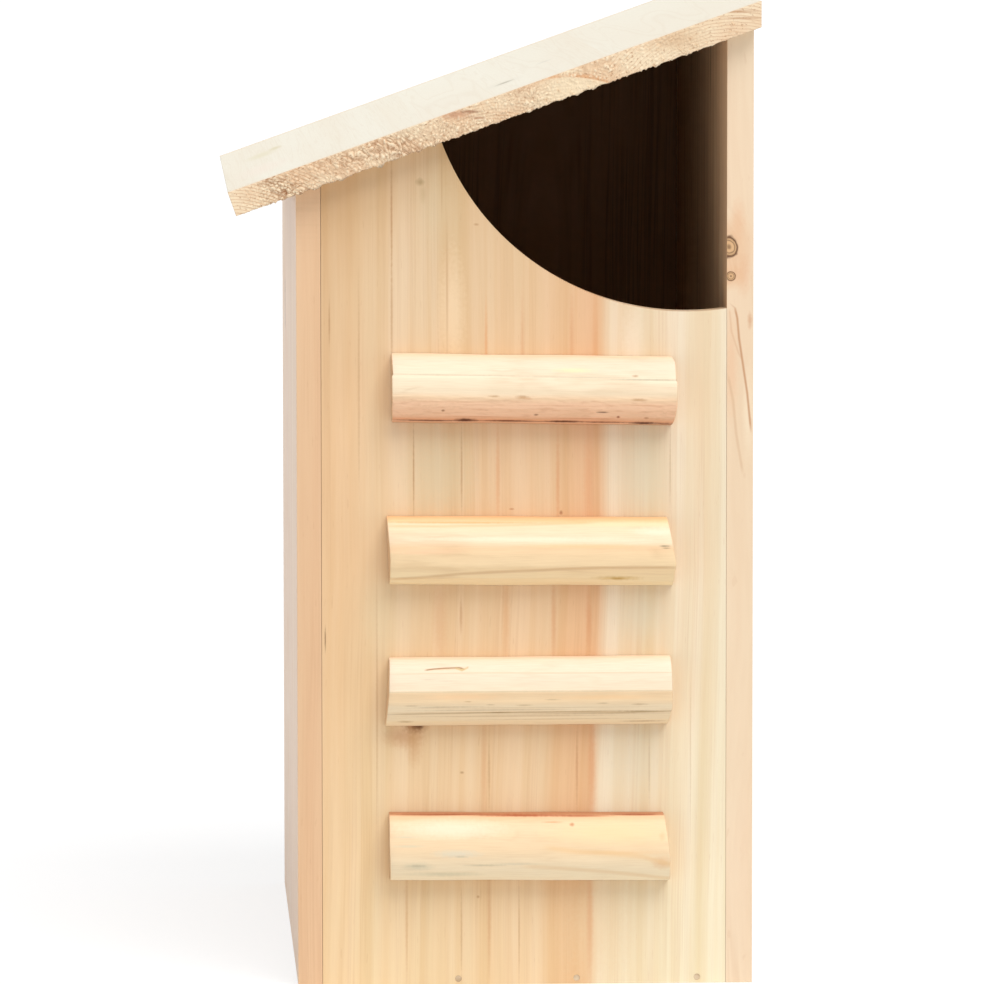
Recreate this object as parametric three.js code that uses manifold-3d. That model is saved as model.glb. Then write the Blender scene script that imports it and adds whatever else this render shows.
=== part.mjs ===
// Wooden nest box with a side entrance, a ladder of half-round rungs and a sloping roof
// that opens on two small hinges. Millimetres, +Z up. +X points to the tall back board,
// -Y to the side panel with the entrance, and the origin is the middle of the underside.
import * as THREE from 'three';
import { mergeVertices } from 'three/addons/utils/BufferGeometryUtils.js';
import Module from 'manifold-3d';

const wasm = await Module();
wasm.setup();

// Box
const boxDepth = 176;
const boxWidth = 282;
const frontHeight = 307;
const roofSlopeDegrees = 19.6;
const frontBoardThickness = 9.4;
const backBoardThickness = 10.2;
const sidePanelThickness = 9.5;
const floorThickness = 9.5;

// Entrance, a round notch out of the side panel's upper rear corner
const entranceRadius = 101;
const entranceCentreInset = 15;
const entranceCentreRise = 1.4;

// Roof board, its front end cut square and its rear end cut upright
const roofThickness = 9.5;
const roofFrontOverhang = 23;
const roofRearOverhang = 2.2;
const roofSideOverhang = 9;

// Rungs, split rounds with their flat side to the panel
const rungLength = 108.5;
const rungHeight = 26.6;
const rungProud = 13;
const rungInset = 36;
const rungHeightShares = [0.886, 0.647, 0.439, 0.207];
const rungShiftShares = [0.014, -0.006, 0, -0.009];
const rungTiltDegrees = [0.9, 0.5, -0.1, 0.4];

// Clearances
const frontJointGap = 0.45;
const jointGap = 0.3;
const seatGap = 0.2;
const fastenerGap = 0.3;
const cutOverrun = 2;

// Nails and screws
const nailLength = 22;
const rungNailLength = 18;
const nailRadius = 0.65;
const nailHeadRadius = 1.25;
const nailHeadThickness = 0.5;
const nailPointLength = 1.6;
const nailSink = 0.2;
const screwLength = 8;
const screwRadius = 0.9;
const screwHeadRadius = 1.8;
const screwHeadDepth = 1.3;
const screwPointLength = 2;
const floorNailHeight = 2.3;

// Hinges on the back, seen open and flat while the roof is shut
const hingeWidth = 25;
const hingeSpacing = 122;
const leafThickness = 0.9;
const boardLeafHeight = 9;
const leafTopMargin = 0.8;
const pinRadius = 0.7;
const pinGap = 0.2;
const knuckleGap = 0.3;
const hingeRoofGap = 0.5;
const hingeScrewSpacing = 15;
const roofScrewRise = 4.3;

// Where nails sit, as shares of the edge that they go into
const frontNailShares = [0.12, 0.5, 0.88];
const entranceNailShares = [0.14, 0.52, 0.9];
const plainNailShares = [0.12, 0.5, 0.88];
const sideFloorNailShares = [0.335, 0.63, 0.93];
const endFloorNailShares = [0.15, 0.5, 0.85];
const rungNailShares = [0.16, 0.84];

// Facets
const arcSteps = 32;
const rungSteps = 14;
const nailSides = 8;
const hingeSides = 16;

// Places that follow from the sizes above
const frontX = -boxDepth / 2;
const backX = boxDepth / 2;
const nearY = -boxWidth / 2;
const farY = boxWidth / 2;
const slope = THREE.MathUtils.degToRad(roofSlopeDegrees);
const panelFrontX = frontX + frontBoardThickness + frontJointGap;
const panelRearX = backX - backBoardThickness - jointGap;
const entranceX = panelRearX - entranceCentreInset;
const entranceZ = roofUnderside(entranceX) + entranceCentreRise;
const entranceSillZ = entranceZ - entranceRadius;
const barrelRadius = (roofRearOverhang + leafThickness) / 2;
const hingeX = backX + seatGap + barrelRadius;
const hingeZ = roofUnderside(hingeX) - (barrelRadius + hingeRoofGap) / Math.cos(slope);

const pine = new THREE.MeshStandardMaterial({ color: '#f0cda1', roughness: 0.72, metalness: 0 });
const palePine = new THREE.MeshStandardMaterial({ color: '#f3dfbf', roughness: 0.72, metalness: 0 });
const roofPine = new THREE.MeshStandardMaterial({ color: '#f3eee0', roughness: 0.8, metalness: 0 });
const rungPine = new THREE.MeshStandardMaterial({ color: '#f4dcae', roughness: 0.75, metalness: 0 });
const steel = new THREE.MeshStandardMaterial({ color: '#8c8780', roughness: 0.45, metalness: 0.9 });
const zinc = new THREE.MeshStandardMaterial({ color: '#c9b98a', roughness: 0.35, metalness: 0.9 });

const box = new THREE.Group();

// Height of the roof's lower face above a place along the depth
function roofUnderside(x) {
  return frontHeight + (x - frontX) * Math.tan(slope);
}

// Top of a board that the roof rests on
function boardTop(x) {
  return roofUnderside(x) - jointGap;
}

function manifoldOf(geometry) {
  const bare = geometry.clone();
  bare.deleteAttribute('normal');
  bare.deleteAttribute('uv');
  const welded = mergeVertices(bare);
  return new wasm.Manifold(new wasm.Mesh({
    numProp: 3,
    vertProperties: Float32Array.from(welded.attributes.position.array),
    triVerts: Uint32Array.from(welded.index.array),
  }));
}

function geometryOf(manifold) {
  const mesh = manifold.getMesh();
  const geometry = new THREE.BufferGeometry();
  geometry.setAttribute('position', new THREE.BufferAttribute(mesh.vertProperties, mesh.numProp));
  geometry.setIndex(new THREE.BufferAttribute(mesh.triVerts, 1));
  geometry.computeVertexNormals();
  return geometry;
}

function cut(geometry, cutters) {
  const rest = cutters.reduce((body, cutter) => body.subtract(manifoldOf(cutter)), manifoldOf(geometry));
  return geometryOf(rest);
}

function join(pieces) {
  return geometryOf(pieces.slice(1).reduce((body, piece) => body.add(manifoldOf(piece)), manifoldOf(pieces[0])));
}

// A box between two corners
function block(low, high) {
  const size = high.map((value, axis) => value - low[axis]);
  const middle = high.map((value, axis) => (value + low[axis]) / 2);
  return new THREE.BoxGeometry(...size).translate(...middle);
}

// An outline of depth and height, carried across the width from one place to another
function acrossWidth(outline, fromY, toY) {
  const shape = new THREE.Shape(outline.map(([x, z]) => new THREE.Vector2(x, z)));
  const geometry = new THREE.ExtrudeGeometry(shape, { depth: toY - fromY, bevelEnabled: false });
  return geometry.rotateX(Math.PI / 2).translate(0, toY, 0);
}

// A turned shape with its top at a place and its length along a direction
function turned(profile, sides, at, direction) {
  const points = profile.map(([radius, along]) => new THREE.Vector2(radius, -along)).reverse();
  const geometry = new THREE.LatheGeometry(points, sides);
  const turn = new THREE.Quaternion().setFromUnitVectors(new THREE.Vector3(0, -1, 0), direction);
  return geometry.applyQuaternion(turn).translate(at.x, at.y, at.z);
}

function addPiece(name, geometry, material, parent = box) {
  const mesh = new THREE.Mesh(geometry, material);
  mesh.name = name;
  parent.add(mesh);
  return mesh;
}

// Each nail or screw of a row is a piece of its own, numbered from 1
function addFasteners(name, places, shape, material) {
  places.forEach((place, index) => addPiece(`${name}_${index + 1}`, shape(place), material));
}

// Nails: a flat head just under the surface, a round shank and a point
function nail({ at, direction, length }) {
  const profile = [
    [0, nailSink],
    [nailHeadRadius, nailSink],
    [nailHeadRadius, nailSink + nailHeadThickness],
    [nailRadius, nailSink + nailHeadThickness],
    [nailRadius, length - nailPointLength],
    [0, length],
  ];
  return turned(profile, nailSides, at, direction);
}

function nailHole({ at, direction, length }) {
  const headFloor = nailSink + nailHeadThickness + fastenerGap;
  const profile = [
    [0, -cutOverrun],
    [nailHeadRadius + fastenerGap, -cutOverrun],
    [nailHeadRadius + fastenerGap, headFloor],
    [nailRadius + fastenerGap, headFloor],
    [nailRadius + fastenerGap, length - nailPointLength],
    [0, length + fastenerGap],
  ];
  return turned(profile, nailSides, at, direction);
}

// Screws: a countersunk head flush with the leaf, a shank and a point
function screw({ at, direction }) {
  const profile = [
    [0, 0],
    [screwHeadRadius, 0],
    [screwRadius, screwHeadDepth],
    [screwRadius, screwLength - screwPointLength],
    [0, screwLength],
  ];
  return turned(profile, nailSides, at, direction);
}

function screwHole({ at, direction }) {
  const profile = [
    [0, -cutOverrun],
    [screwHeadRadius + fastenerGap, -cutOverrun],
    [screwHeadRadius + fastenerGap, fastenerGap],
    [screwRadius + fastenerGap, screwHeadDepth + fastenerGap],
    [screwRadius + fastenerGap, screwLength - screwPointLength],
    [0, screwLength + fastenerGap],
  ];
  return turned(profile, nailSides, at, direction);
}

const toBack = new THREE.Vector3(1, 0, 0);
const toFront = new THREE.Vector3(-1, 0, 0);
const toFar = new THREE.Vector3(0, 1, 0);
const toNear = new THREE.Vector3(0, -1, 0);
const sideEdgeYs = [nearY + sidePanelThickness / 2, farY - sidePanelThickness / 2];

function nailRow(shares, placeAt, direction, length = nailLength) {
  return shares.map((share) => ({ at: placeAt(share), direction, length }));
}

// Front board to the two side panels
const frontNails = sideEdgeYs.flatMap((y) => nailRow(
  frontNailShares,
  (share) => new THREE.Vector3(frontX, y, share * frontHeight),
  toBack,
));

// Back board to the side panels, below the entrance on the near side
const backNails = [
  ...nailRow(
    entranceNailShares,
    (share) => new THREE.Vector3(backX, sideEdgeYs[0], share * entranceSillZ),
    toFront,
  ),
  ...nailRow(
    plainNailShares,
    (share) => new THREE.Vector3(backX, sideEdgeYs[1], share * boardTop(panelRearX)),
    toFront,
  ),
];

// Floor, nailed through the foot of each wall
const panelDepth = panelRearX - panelFrontX;
const entranceFloorNails = nailRow(
  sideFloorNailShares,
  (share) => new THREE.Vector3(panelFrontX + share * panelDepth, nearY, floorNailHeight),
  toFar,
);
const plainFloorNails = nailRow(
  sideFloorNailShares,
  (share) => new THREE.Vector3(panelFrontX + share * panelDepth, farY, floorNailHeight),
  toNear,
);
const frontFloorNails = nailRow(
  endFloorNailShares,
  (share) => new THREE.Vector3(frontX, nearY + share * boxWidth, floorThickness / 2),
  toBack,
);
const backFloorNails = nailRow(
  endFloorNailShares,
  (share) => new THREE.Vector3(backX, nearY + share * boxWidth, floorThickness / 2),
  toFront,
);

// Rungs, nailed from inside the box through the side panel
const rungs = rungHeightShares.map((share, index) => ({
  name: `rung_${index + 1}`,
  x: frontX + rungInset + rungLength / 2 + rungShiftShares[index] * rungLength,
  z: share * entranceSillZ,
  tilt: THREE.MathUtils.degToRad(rungTiltDegrees[index]),
}));
const rungBackY = nearY - jointGap;
const rungNailAlongs = rungNailShares.map((share) => (share - 1 / 2) * rungLength);
const rungNails = rungs.flatMap(({ x, z, tilt }) => rungNailAlongs.map((along) => ({
  at: new THREE.Vector3(x + along * Math.cos(tilt), nearY + sidePanelThickness, z - along * Math.sin(tilt)),
  direction: toNear,
  length: rungNailLength,
})));

// Hinge screws, two in each leaf
const hingeYs = [-hingeSpacing / 2, hingeSpacing / 2];
const screwYs = hingeYs.flatMap((y) => [y - hingeScrewSpacing / 2, y + hingeScrewSpacing / 2]);
const boardScrewZ = hingeZ - barrelRadius - knuckleGap - boardLeafHeight / 2;
const roofScrewZ = roofUnderside(backX + roofRearOverhang) + roofScrewRise;
const boardScrews = screwYs.map((y) => ({
  at: new THREE.Vector3(backX + seatGap + leafThickness, y, boardScrewZ),
  direction: toFront,
}));
const roofScrews = screwYs.map((y) => ({
  at: new THREE.Vector3(hingeX + barrelRadius, y, roofScrewZ),
  direction: toFront,
}));

// Front board, the full width of the box, its top edge sloped with the roof
function frontBoard() {
  const innerX = frontX + frontBoardThickness;
  const outline = [[frontX, 0], [innerX, 0], [innerX, boardTop(innerX)], [frontX, boardTop(frontX)]];
  return cut(acrossWidth(outline, nearY, farY), [...frontNails, ...frontFloorNails].map(nailHole));
}

// Back board, the tall wall that goes against a trunk or post
function backBoard() {
  const innerX = backX - backBoardThickness;
  const outline = [[innerX, 0], [backX, 0], [backX, boardTop(backX)], [innerX, boardTop(innerX)]];
  const holes = [...[...backNails, ...backFloorNails].map(nailHole), ...boardScrews.map(screwHole)];
  return cut(acrossWidth(outline, nearY, farY), holes);
}

const plainOutline = [
  [panelFrontX, 0],
  [panelRearX, 0],
  [panelRearX, boardTop(panelRearX)],
  [panelFrontX, boardTop(panelFrontX)],
];

// Side panel with the entrance cut out of its corner beside the back board
function entranceSidePanel() {
  const entrance = new THREE.CylinderGeometry(
    entranceRadius,
    entranceRadius,
    sidePanelThickness + cutOverrun * 2,
    arcSteps * 2,
  ).translate(entranceX, nearY + sidePanelThickness / 2, entranceZ);
  const holes = [...frontNails, ...backNails, ...entranceFloorNails, ...rungNails].map(nailHole);
  return cut(acrossWidth(plainOutline, nearY, nearY + sidePanelThickness), [entrance, ...holes]);
}

function plainSidePanel() {
  const holes = [...frontNails, ...backNails, ...plainFloorNails].map(nailHole);
  return cut(acrossWidth(plainOutline, farY - sidePanelThickness, farY), holes);
}

// Floor, let in between the four walls and flush with their feet
function floorBoard() {
  const low = [panelFrontX, nearY + sidePanelThickness + jointGap, 0];
  const high = [panelRearX, farY - sidePanelThickness - jointGap, floorThickness];
  const holes = [...entranceFloorNails, ...plainFloorNails, ...frontFloorNails, ...backFloorNails];
  return cut(block(low, high), holes.map(nailHole));
}

// Roof board, one board that slopes down to the front
function roofBoard() {
  const rearX = backX + roofRearOverhang;
  const toeX = frontX - roofFrontOverhang;
  const outline = [
    [toeX, roofUnderside(toeX)],
    [rearX, roofUnderside(rearX)],
    [rearX, roofUnderside(rearX) + roofThickness / Math.cos(slope)],
    [toeX - roofThickness * Math.sin(slope), roofUnderside(toeX) + roofThickness * Math.cos(slope)],
  ];
  const board = acrossWidth(outline, nearY - roofSideOverhang, farY + roofSideOverhang);
  return cut(board, roofScrews.map(screwHole));
}

// One rung about the middle of its flat side, which faces the panel
function rungGeometry() {
  const shape = new THREE.Shape();
  shape.absellipse(0, 0, rungHeight / 2, rungProud, 0, Math.PI);
  shape.closePath();
  const geometry = new THREE.ExtrudeGeometry(shape, {
    depth: rungLength,
    bevelEnabled: false,
    curveSegments: rungSteps,
  });
  // the half ellipse's width becomes the height, and its bulge faces the near side
  geometry.translate(0, 0, -rungLength / 2).rotateZ(-Math.PI / 2).rotateY(Math.PI / 2).rotateX(-Math.PI / 2);
  const holes = rungNailAlongs.map((along) => nailHole({
    at: new THREE.Vector3(along, sidePanelThickness + jointGap, 0),
    direction: toNear,
    length: rungNailLength,
  }));
  return cut(geometry, holes);
}

// Hinges: the board leaf has the two outer knuckles and the roof leaf the middle one.
// The roof leaf is rolled the other way, because the roof's end stands proud of the board.
const knuckleLength = (hingeWidth - knuckleGap * 2) / 3;
const knuckleStep = knuckleLength + knuckleGap;

function tube(y, length) {
  const barrel = new THREE.CylinderGeometry(barrelRadius, barrelRadius, length, hingeSides);
  return barrel.translate(0, y, 0);
}

function pinBore() {
  const radius = pinRadius + pinGap;
  return new THREE.CylinderGeometry(radius, radius, hingeWidth + cutOverrun * 2, hingeSides);
}

// Places here are from the pin's axis
function boardLeaf(centreY) {
  const innerX = -barrelRadius;
  const outerX = innerX + leafThickness;
  const topZ = -barrelRadius - knuckleGap;
  const plate = block([innerX, -hingeWidth / 2, topZ - boardLeafHeight], [outerX, hingeWidth / 2, topZ]);
  const knuckles = [-knuckleStep, knuckleStep].flatMap((y) => [
    tube(y, knuckleLength),
    block([innerX, y - knuckleLength / 2, topZ], [outerX, y + knuckleLength / 2, 0]),
  ]);
  const holes = boardScrews.map(screwHole).map((hole) => hole.translate(-hingeX, -centreY, -hingeZ));
  return cut(join([plate, ...knuckles]), [pinBore(), ...holes]);
}

function roofLeaf(centreY) {
  const outerX = barrelRadius;
  const innerX = outerX - leafThickness;
  const rearX = backX + roofRearOverhang;
  const topZ = roofUnderside(rearX) + roofThickness / Math.cos(slope) - leafTopMargin - hingeZ;
  const footZ = barrelRadius + knuckleGap;
  const plate = block([innerX, -hingeWidth / 2, footZ], [outerX, hingeWidth / 2, topZ]);
  const neck = block([innerX, -knuckleLength / 2, 0], [outerX, knuckleLength / 2, footZ]);
  const holes = roofScrews.map(screwHole).map((hole) => hole.translate(-hingeX, -centreY, -hingeZ));
  return cut(join([plate, tube(0, knuckleLength), neck]), [pinBore(), ...holes]);
}

function addHinge(side, centreY) {
  const hinge = new THREE.Group();
  hinge.position.set(hingeX, centreY, hingeZ);
  addPiece(`${side}_hinge_board_leaf`, boardLeaf(centreY), zinc, hinge);
  addPiece(`${side}_hinge_roof_leaf`, roofLeaf(centreY), zinc, hinge);
  const pin = new THREE.CylinderGeometry(pinRadius, pinRadius, hingeWidth, hingeSides);
  addPiece(`${side}_hinge_pin`, pin, steel, hinge);
  box.add(hinge);
}

addPiece('front_board', frontBoard(), pine);
addPiece('back_board', backBoard(), palePine);
addPiece('entrance_side_panel', entranceSidePanel(), pine);
addPiece('plain_side_panel', plainSidePanel(), pine);
addPiece('floor_board', floorBoard(), palePine);
addPiece('roof_board', roofBoard(), roofPine);
for (const { name, x, z, tilt } of rungs) {
  const rung = addPiece(name, rungGeometry(), rungPine);
  rung.position.set(x, rungBackY, z);
  rung.rotation.y = tilt;
}
addHinge('near', hingeYs[0]);
addHinge('far', hingeYs[1]);
addFasteners('front_board_nail', frontNails, nail, steel);
addFasteners('back_board_nail', backNails, nail, steel);
addFasteners('entrance_side_floor_nail', entranceFloorNails, nail, steel);
addFasteners('plain_side_floor_nail', plainFloorNails, nail, steel);
addFasteners('front_floor_nail', frontFloorNails, nail, steel);
addFasteners('back_floor_nail', backFloorNails, nail, steel);
addFasteners('rung_nail', rungNails, nail, steel);
addFasteners('hinge_board_screw', boardScrews, screw, steel);
addFasteners('hinge_roof_screw', roofScrews, screw, steel);

export default box;
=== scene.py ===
import math
import random

import bpy
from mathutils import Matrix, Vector, noise


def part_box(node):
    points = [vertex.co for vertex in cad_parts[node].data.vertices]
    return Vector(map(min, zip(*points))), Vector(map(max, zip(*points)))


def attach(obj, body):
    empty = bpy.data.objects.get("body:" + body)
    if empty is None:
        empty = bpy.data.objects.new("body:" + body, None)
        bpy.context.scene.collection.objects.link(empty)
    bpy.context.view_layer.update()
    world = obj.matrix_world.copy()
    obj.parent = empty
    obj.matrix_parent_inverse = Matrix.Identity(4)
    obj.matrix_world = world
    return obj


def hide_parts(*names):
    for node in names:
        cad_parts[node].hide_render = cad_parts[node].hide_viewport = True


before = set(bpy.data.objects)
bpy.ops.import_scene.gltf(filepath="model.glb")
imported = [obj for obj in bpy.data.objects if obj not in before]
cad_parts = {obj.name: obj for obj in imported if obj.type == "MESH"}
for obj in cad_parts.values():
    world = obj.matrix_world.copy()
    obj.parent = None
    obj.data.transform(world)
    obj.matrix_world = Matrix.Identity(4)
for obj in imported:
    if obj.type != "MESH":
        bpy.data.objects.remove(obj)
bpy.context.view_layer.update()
bpy.ops.object.select_all(action="DESELECT")

# Camera: a long lens a little to the left of the box and above it, which sees the side
# with the entrance almost square on. Its picture is taken to be square.
camera_place = (-0.14679, -3.05072, 0.45828)
camera_pitch_degrees = -5.2307
camera_yaw_degrees = -2.6413
camera_roll_degrees = 0.0511
focal_pixels = 7592.3
image_pixels = 984
sensor_mm = 36
camera_data = bpy.data.cameras.new("camera")
camera_data.sensor_width = sensor_mm
camera_data.lens = focal_pixels / image_pixels * sensor_mm
camera_data.clip_end = 100
camera = bpy.data.objects.new("camera", camera_data)
camera.location = camera_place
camera.rotation_euler = (
    math.radians(90 + camera_pitch_degrees),
    math.radians(camera_roll_degrees),
    math.radians(camera_yaw_degrees),
)
bpy.context.collection.objects.link(camera)
bpy.context.scene.camera = camera
bpy.context.scene.view_settings.view_transform = "Standard"


# Light and floor: an even white room and one soft lamp from above, in front and to the
# right. The floor shows white and keeps the shadow.
def node(tree, kind, inputs=None, **settings):
    """A shader node. A socket given as an input is linked, and any other value is set."""
    made = tree.nodes.new("ShaderNode" + kind)
    for name, value in settings.items():
        setattr(made, name, value)
    for name, value in (inputs or {}).items():
        if isinstance(value, bpy.types.NodeSocket):
            tree.links.new(value, made.inputs[name])
        else:
            made.inputs[name].default_value = value
    return made


def seen_in(tree, *rays):
    """One for the kinds of ray that are named, nought for the others."""
    paths = node(tree, "LightPath").outputs
    seen = paths[rays[0]]
    for ray in rays[1:]:
        seen = node(tree, "Math", {0: seen, 1: paths[ray]}, operation="MAXIMUM").outputs[0]
    return seen


key_toward = (0.45, -1, 1.6)
key_strength = 2.1
key_spread_degrees = 44
lamp = bpy.data.lights.new("key", "SUN")
lamp.energy = key_strength
lamp.angle = math.radians(key_spread_degrees)
key = bpy.data.objects.new("key", lamp)
key.rotation_euler = Vector(key_toward).to_track_quat("Z", "Y").to_euler()
bpy.context.collection.objects.link(key)

white = (1, 1, 1, 1)
room_strength = 0.55
world = bpy.data.worlds.new("room")
world.use_nodes = True
room = world.node_tree
room.nodes.clear()
room_seen = seen_in(room, "Is Camera Ray", "Is Glossy Ray", "Is Transmission Ray")
room_light = node(room, "Background", {"Color": white, "Strength": room_strength}).outputs[0]
room_white = node(room, "Background", {"Color": white, "Strength": 1}).outputs[0]
room_mix = node(room, "MixShader", {0: room_seen, 1: room_light, 2: room_white}).outputs[0]
node(room, "OutputWorld", {"Surface": room_mix})
bpy.context.scene.world = world

floor_reach = 60
floor_bounce_shade = (0.8, 0.8, 0.8, 1)
floor_shade = (0.3, 0.3, 0.3, 1)
floor_glow = 0.75
bpy.ops.mesh.primitive_plane_add(size=floor_reach)
ground = bpy.context.active_object
ground.name = "ground"
paint = bpy.data.materials.new("ground_paint")
paint.use_nodes = True
coat = paint.node_tree
coat.nodes.clear()
bounce = node(coat, "BsdfDiffuse", {"Color": floor_bounce_shade}).outputs[0]
shade = node(coat, "BsdfDiffuse", {"Color": floor_shade}).outputs[0]
glow = node(coat, "Emission", {"Color": white, "Strength": floor_glow}).outputs[0]
pale = node(coat, "AddShader", {0: shade, 1: glow}).outputs[0]
ground_seen = seen_in(coat, "Is Camera Ray", "Is Glossy Ray")
ground_mix = node(coat, "MixShader", {0: ground_seen, 1: bounce, 2: pale}).outputs[0]
node(coat, "OutputMaterial", {"Surface": ground_mix})
ground.data.materials.append(paint)


# Front board: the low wall of planed pine, its grain upright and its top edge planed to
# the roof's slope. It covers the side panels' edges and is nailed to them.
MM = 0.001


def tint(red, green, blue):
    """A colour written in 0 to 255, as linear values with alpha."""
    shares = [value / 255 for value in (red, green, blue)]
    return [s / 12.92 if s <= 0.04045 else ((s + 0.055) / 1.055) ** 2.4 for s in shares] + [1]


def tree_of(*values):
    """The node tree of the sockets that are among some values."""
    return next(value.id_data for value in values if isinstance(value, bpy.types.NodeSocket))


def calc(operation, *values):
    """The result of a math node on sockets or numbers."""
    return node(tree_of(*values), "Math", dict(enumerate(values)), operation=operation).outputs[0]


def plus(*values):
    """The sum of two sockets or numbers."""
    return calc("ADD", *values)


def minus(*values):
    """The first of two sockets or numbers less the second."""
    return calc("SUBTRACT", *values)


def times(*values):
    """The product of two sockets or numbers."""
    return calc("MULTIPLY", *values)


def distance(across, along):
    """The length of a line from its two legs."""
    return calc("SQRT", plus(times(across, across), times(along, along)))


def stretch(value, low, high, start=0, end=1):
    """A value carried from one range to another and held inside it."""
    inputs = {"Value": value, "From Min": low, "From Max": high, "To Min": start, "To Max": end}
    return node(tree_of(value), "MapRange", inputs, clamp=True).outputs["Result"]


def mix(factor, first, second, blend="MIX"):
    """Two colours mixed by a factor."""
    inputs = {0: factor, 6: first, 7: second}
    tree = tree_of(factor, first, second)
    return node(tree, "Mix", inputs, data_type="RGBA", blend_type=blend).outputs[2]


def ramp(value, stops):
    """A colour for each share of a value, run together between the stops."""
    made = node(tree_of(value), "ValToRGB", {"Fac": value})
    elements = made.color_ramp.elements
    while len(elements) < len(stops):
        elements.new(1)
    for element, (share, colour) in zip(elements, stops):
        element.position = share
        element.color = colour
    return made.outputs["Color"]


def tint_ramp(value, stops):
    """A ramp whose colours are written in 0 to 255."""
    return ramp(value, [(share, tint(*colour)) for share, colour in stops])


def places(tree, kind="Object"):
    """The three coordinates of a point of the piece, or the parts of its normal."""
    return node(tree, "SeparateXYZ", {"Vector": node(tree, "TexCoord").outputs[kind]}).outputs


def streaks(across, along, across_scale, along_scale, detail=3, seed=0):
    """Noise drawn out along the grain."""
    tree = tree_of(across, along)
    sideways, upward = times(across, across_scale), times(along, along_scale)
    place = node(tree, "CombineXYZ", {"X": sideways, "Y": upward, "Z": seed}).outputs[0]
    return node(tree, "TexNoise", {"Vector": place, "Scale": 1, "Detail": detail}).outputs["Fac"]


def lines(value, level, width):
    """One where a noise passes a level, nought elsewhere: thin lines along the grain."""
    return stretch(calc("ABSOLUTE", minus(value, level)), 0, width, 1, 0)


def reach(across, along, centre, half_across, half_along):
    """How far a point is from a mark's centre, as a share of the mark's own reach."""
    sideways = calc("DIVIDE", minus(across, centre[0]), half_across)
    upward = calc("DIVIDE", minus(along, centre[1]), half_along)
    return distance(sideways, upward)


def paint_marks(colour, across, along, marks):
    """Small stains, dark lines and patches, a few of them painted light and painted shade: centre,
    half sizes in mm, colour and strength of each.
    """
    if not marks:
        return colour
    rough = streaks(across, along, 700, 700, 2, 31)
    for centre, half_across, half_along, stain, strength in marks:
        near = reach(across, along, centre, half_across * MM, half_along * MM)
        near = plus(near, times(rough, 0.7))
        colour = mix(stretch(near, 0.65, 1.6, strength, 0), colour, tint(*stain))
    return colour


knot_heart, knot_rim, knot_halo = tint(220, 178, 132), tint(88, 50, 22), tint(228, 176, 130)


def paint_knot(colour, near):
    """A knot's heart, its dark rings and the stain round it, over a colour."""
    colour = mix(stretch(near, 1, 3.6, 0.55, 0), colour, knot_halo)
    colour = mix(stretch(near, 0.9, 1.05, 1, 0), colour, knot_heart)
    ring = lines(near, 1, 0.22)
    inner_ring = times(lines(near, 0.66, 0.13), 0.7)
    pip = stretch(near, 0.12, 0.34, 0.6, 0)
    dark = calc("MAXIMUM", calc("MAXIMUM", ring, inner_ring), pip)
    return mix(dark, colour, knot_rim)


def paint_curve(colour, across, along, points, half_width, stain, strength):
    """A thin line, its half width in mm, through points that run on along the grain."""
    sides, heights = [point[0] for point in points], [point[1] for point in points]
    left, right, low, high = min(sides), max(sides), heights[0], heights[-1]
    share = calc("DIVIDE", minus(along, low), high - low)
    stops = [((z - low) / (high - low), [(x - left) / (right - left)] * 3 + [1]) for x, z in points]
    middle = stretch(ramp(share, stops), 0, 1, left, right)
    aside = calc("ABSOLUTE", minus(across, middle))
    near = calc("DIVIDE", aside, half_width * MM)
    ends = times(stretch(share, 0, 0.08), stretch(share, 0.92, 1, 1, 0))
    cover = times(stretch(near, 0.4, 1.6, strength, 0), ends)
    return mix(cover, colour, tint(*stain))


def start_material(name):
    """A new material and its node tree."""
    made = bpy.data.materials.new(name)
    made.use_nodes = True
    return made, made.node_tree


def finish_material(made, colour, roughness, relief=None, shine=0.5, metallic=0):
    """Sets a material's colour and gloss, and its relief by height, strength and depth."""
    tree = made.node_tree
    shader = tree.nodes["Principled BSDF"]
    tree.links.new(colour, shader.inputs["Base Color"])
    tree.links.new(roughness, shader.inputs["Roughness"])
    shader.inputs["Specular IOR Level"].default_value = shine
    shader.inputs["Metallic"].default_value = metallic
    if relief:
        height, strength, depth = relief
        bump = node(tree, "Bump", {"Height": height, "Strength": strength, "Distance": depth})
        tree.links.new(bump.outputs["Normal"], shader.inputs["Normal"])
    return made


ring_wander = 6 * MM
band_drift = 5 * MM
sallow_wood = tint(243, 246, 238)


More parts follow.
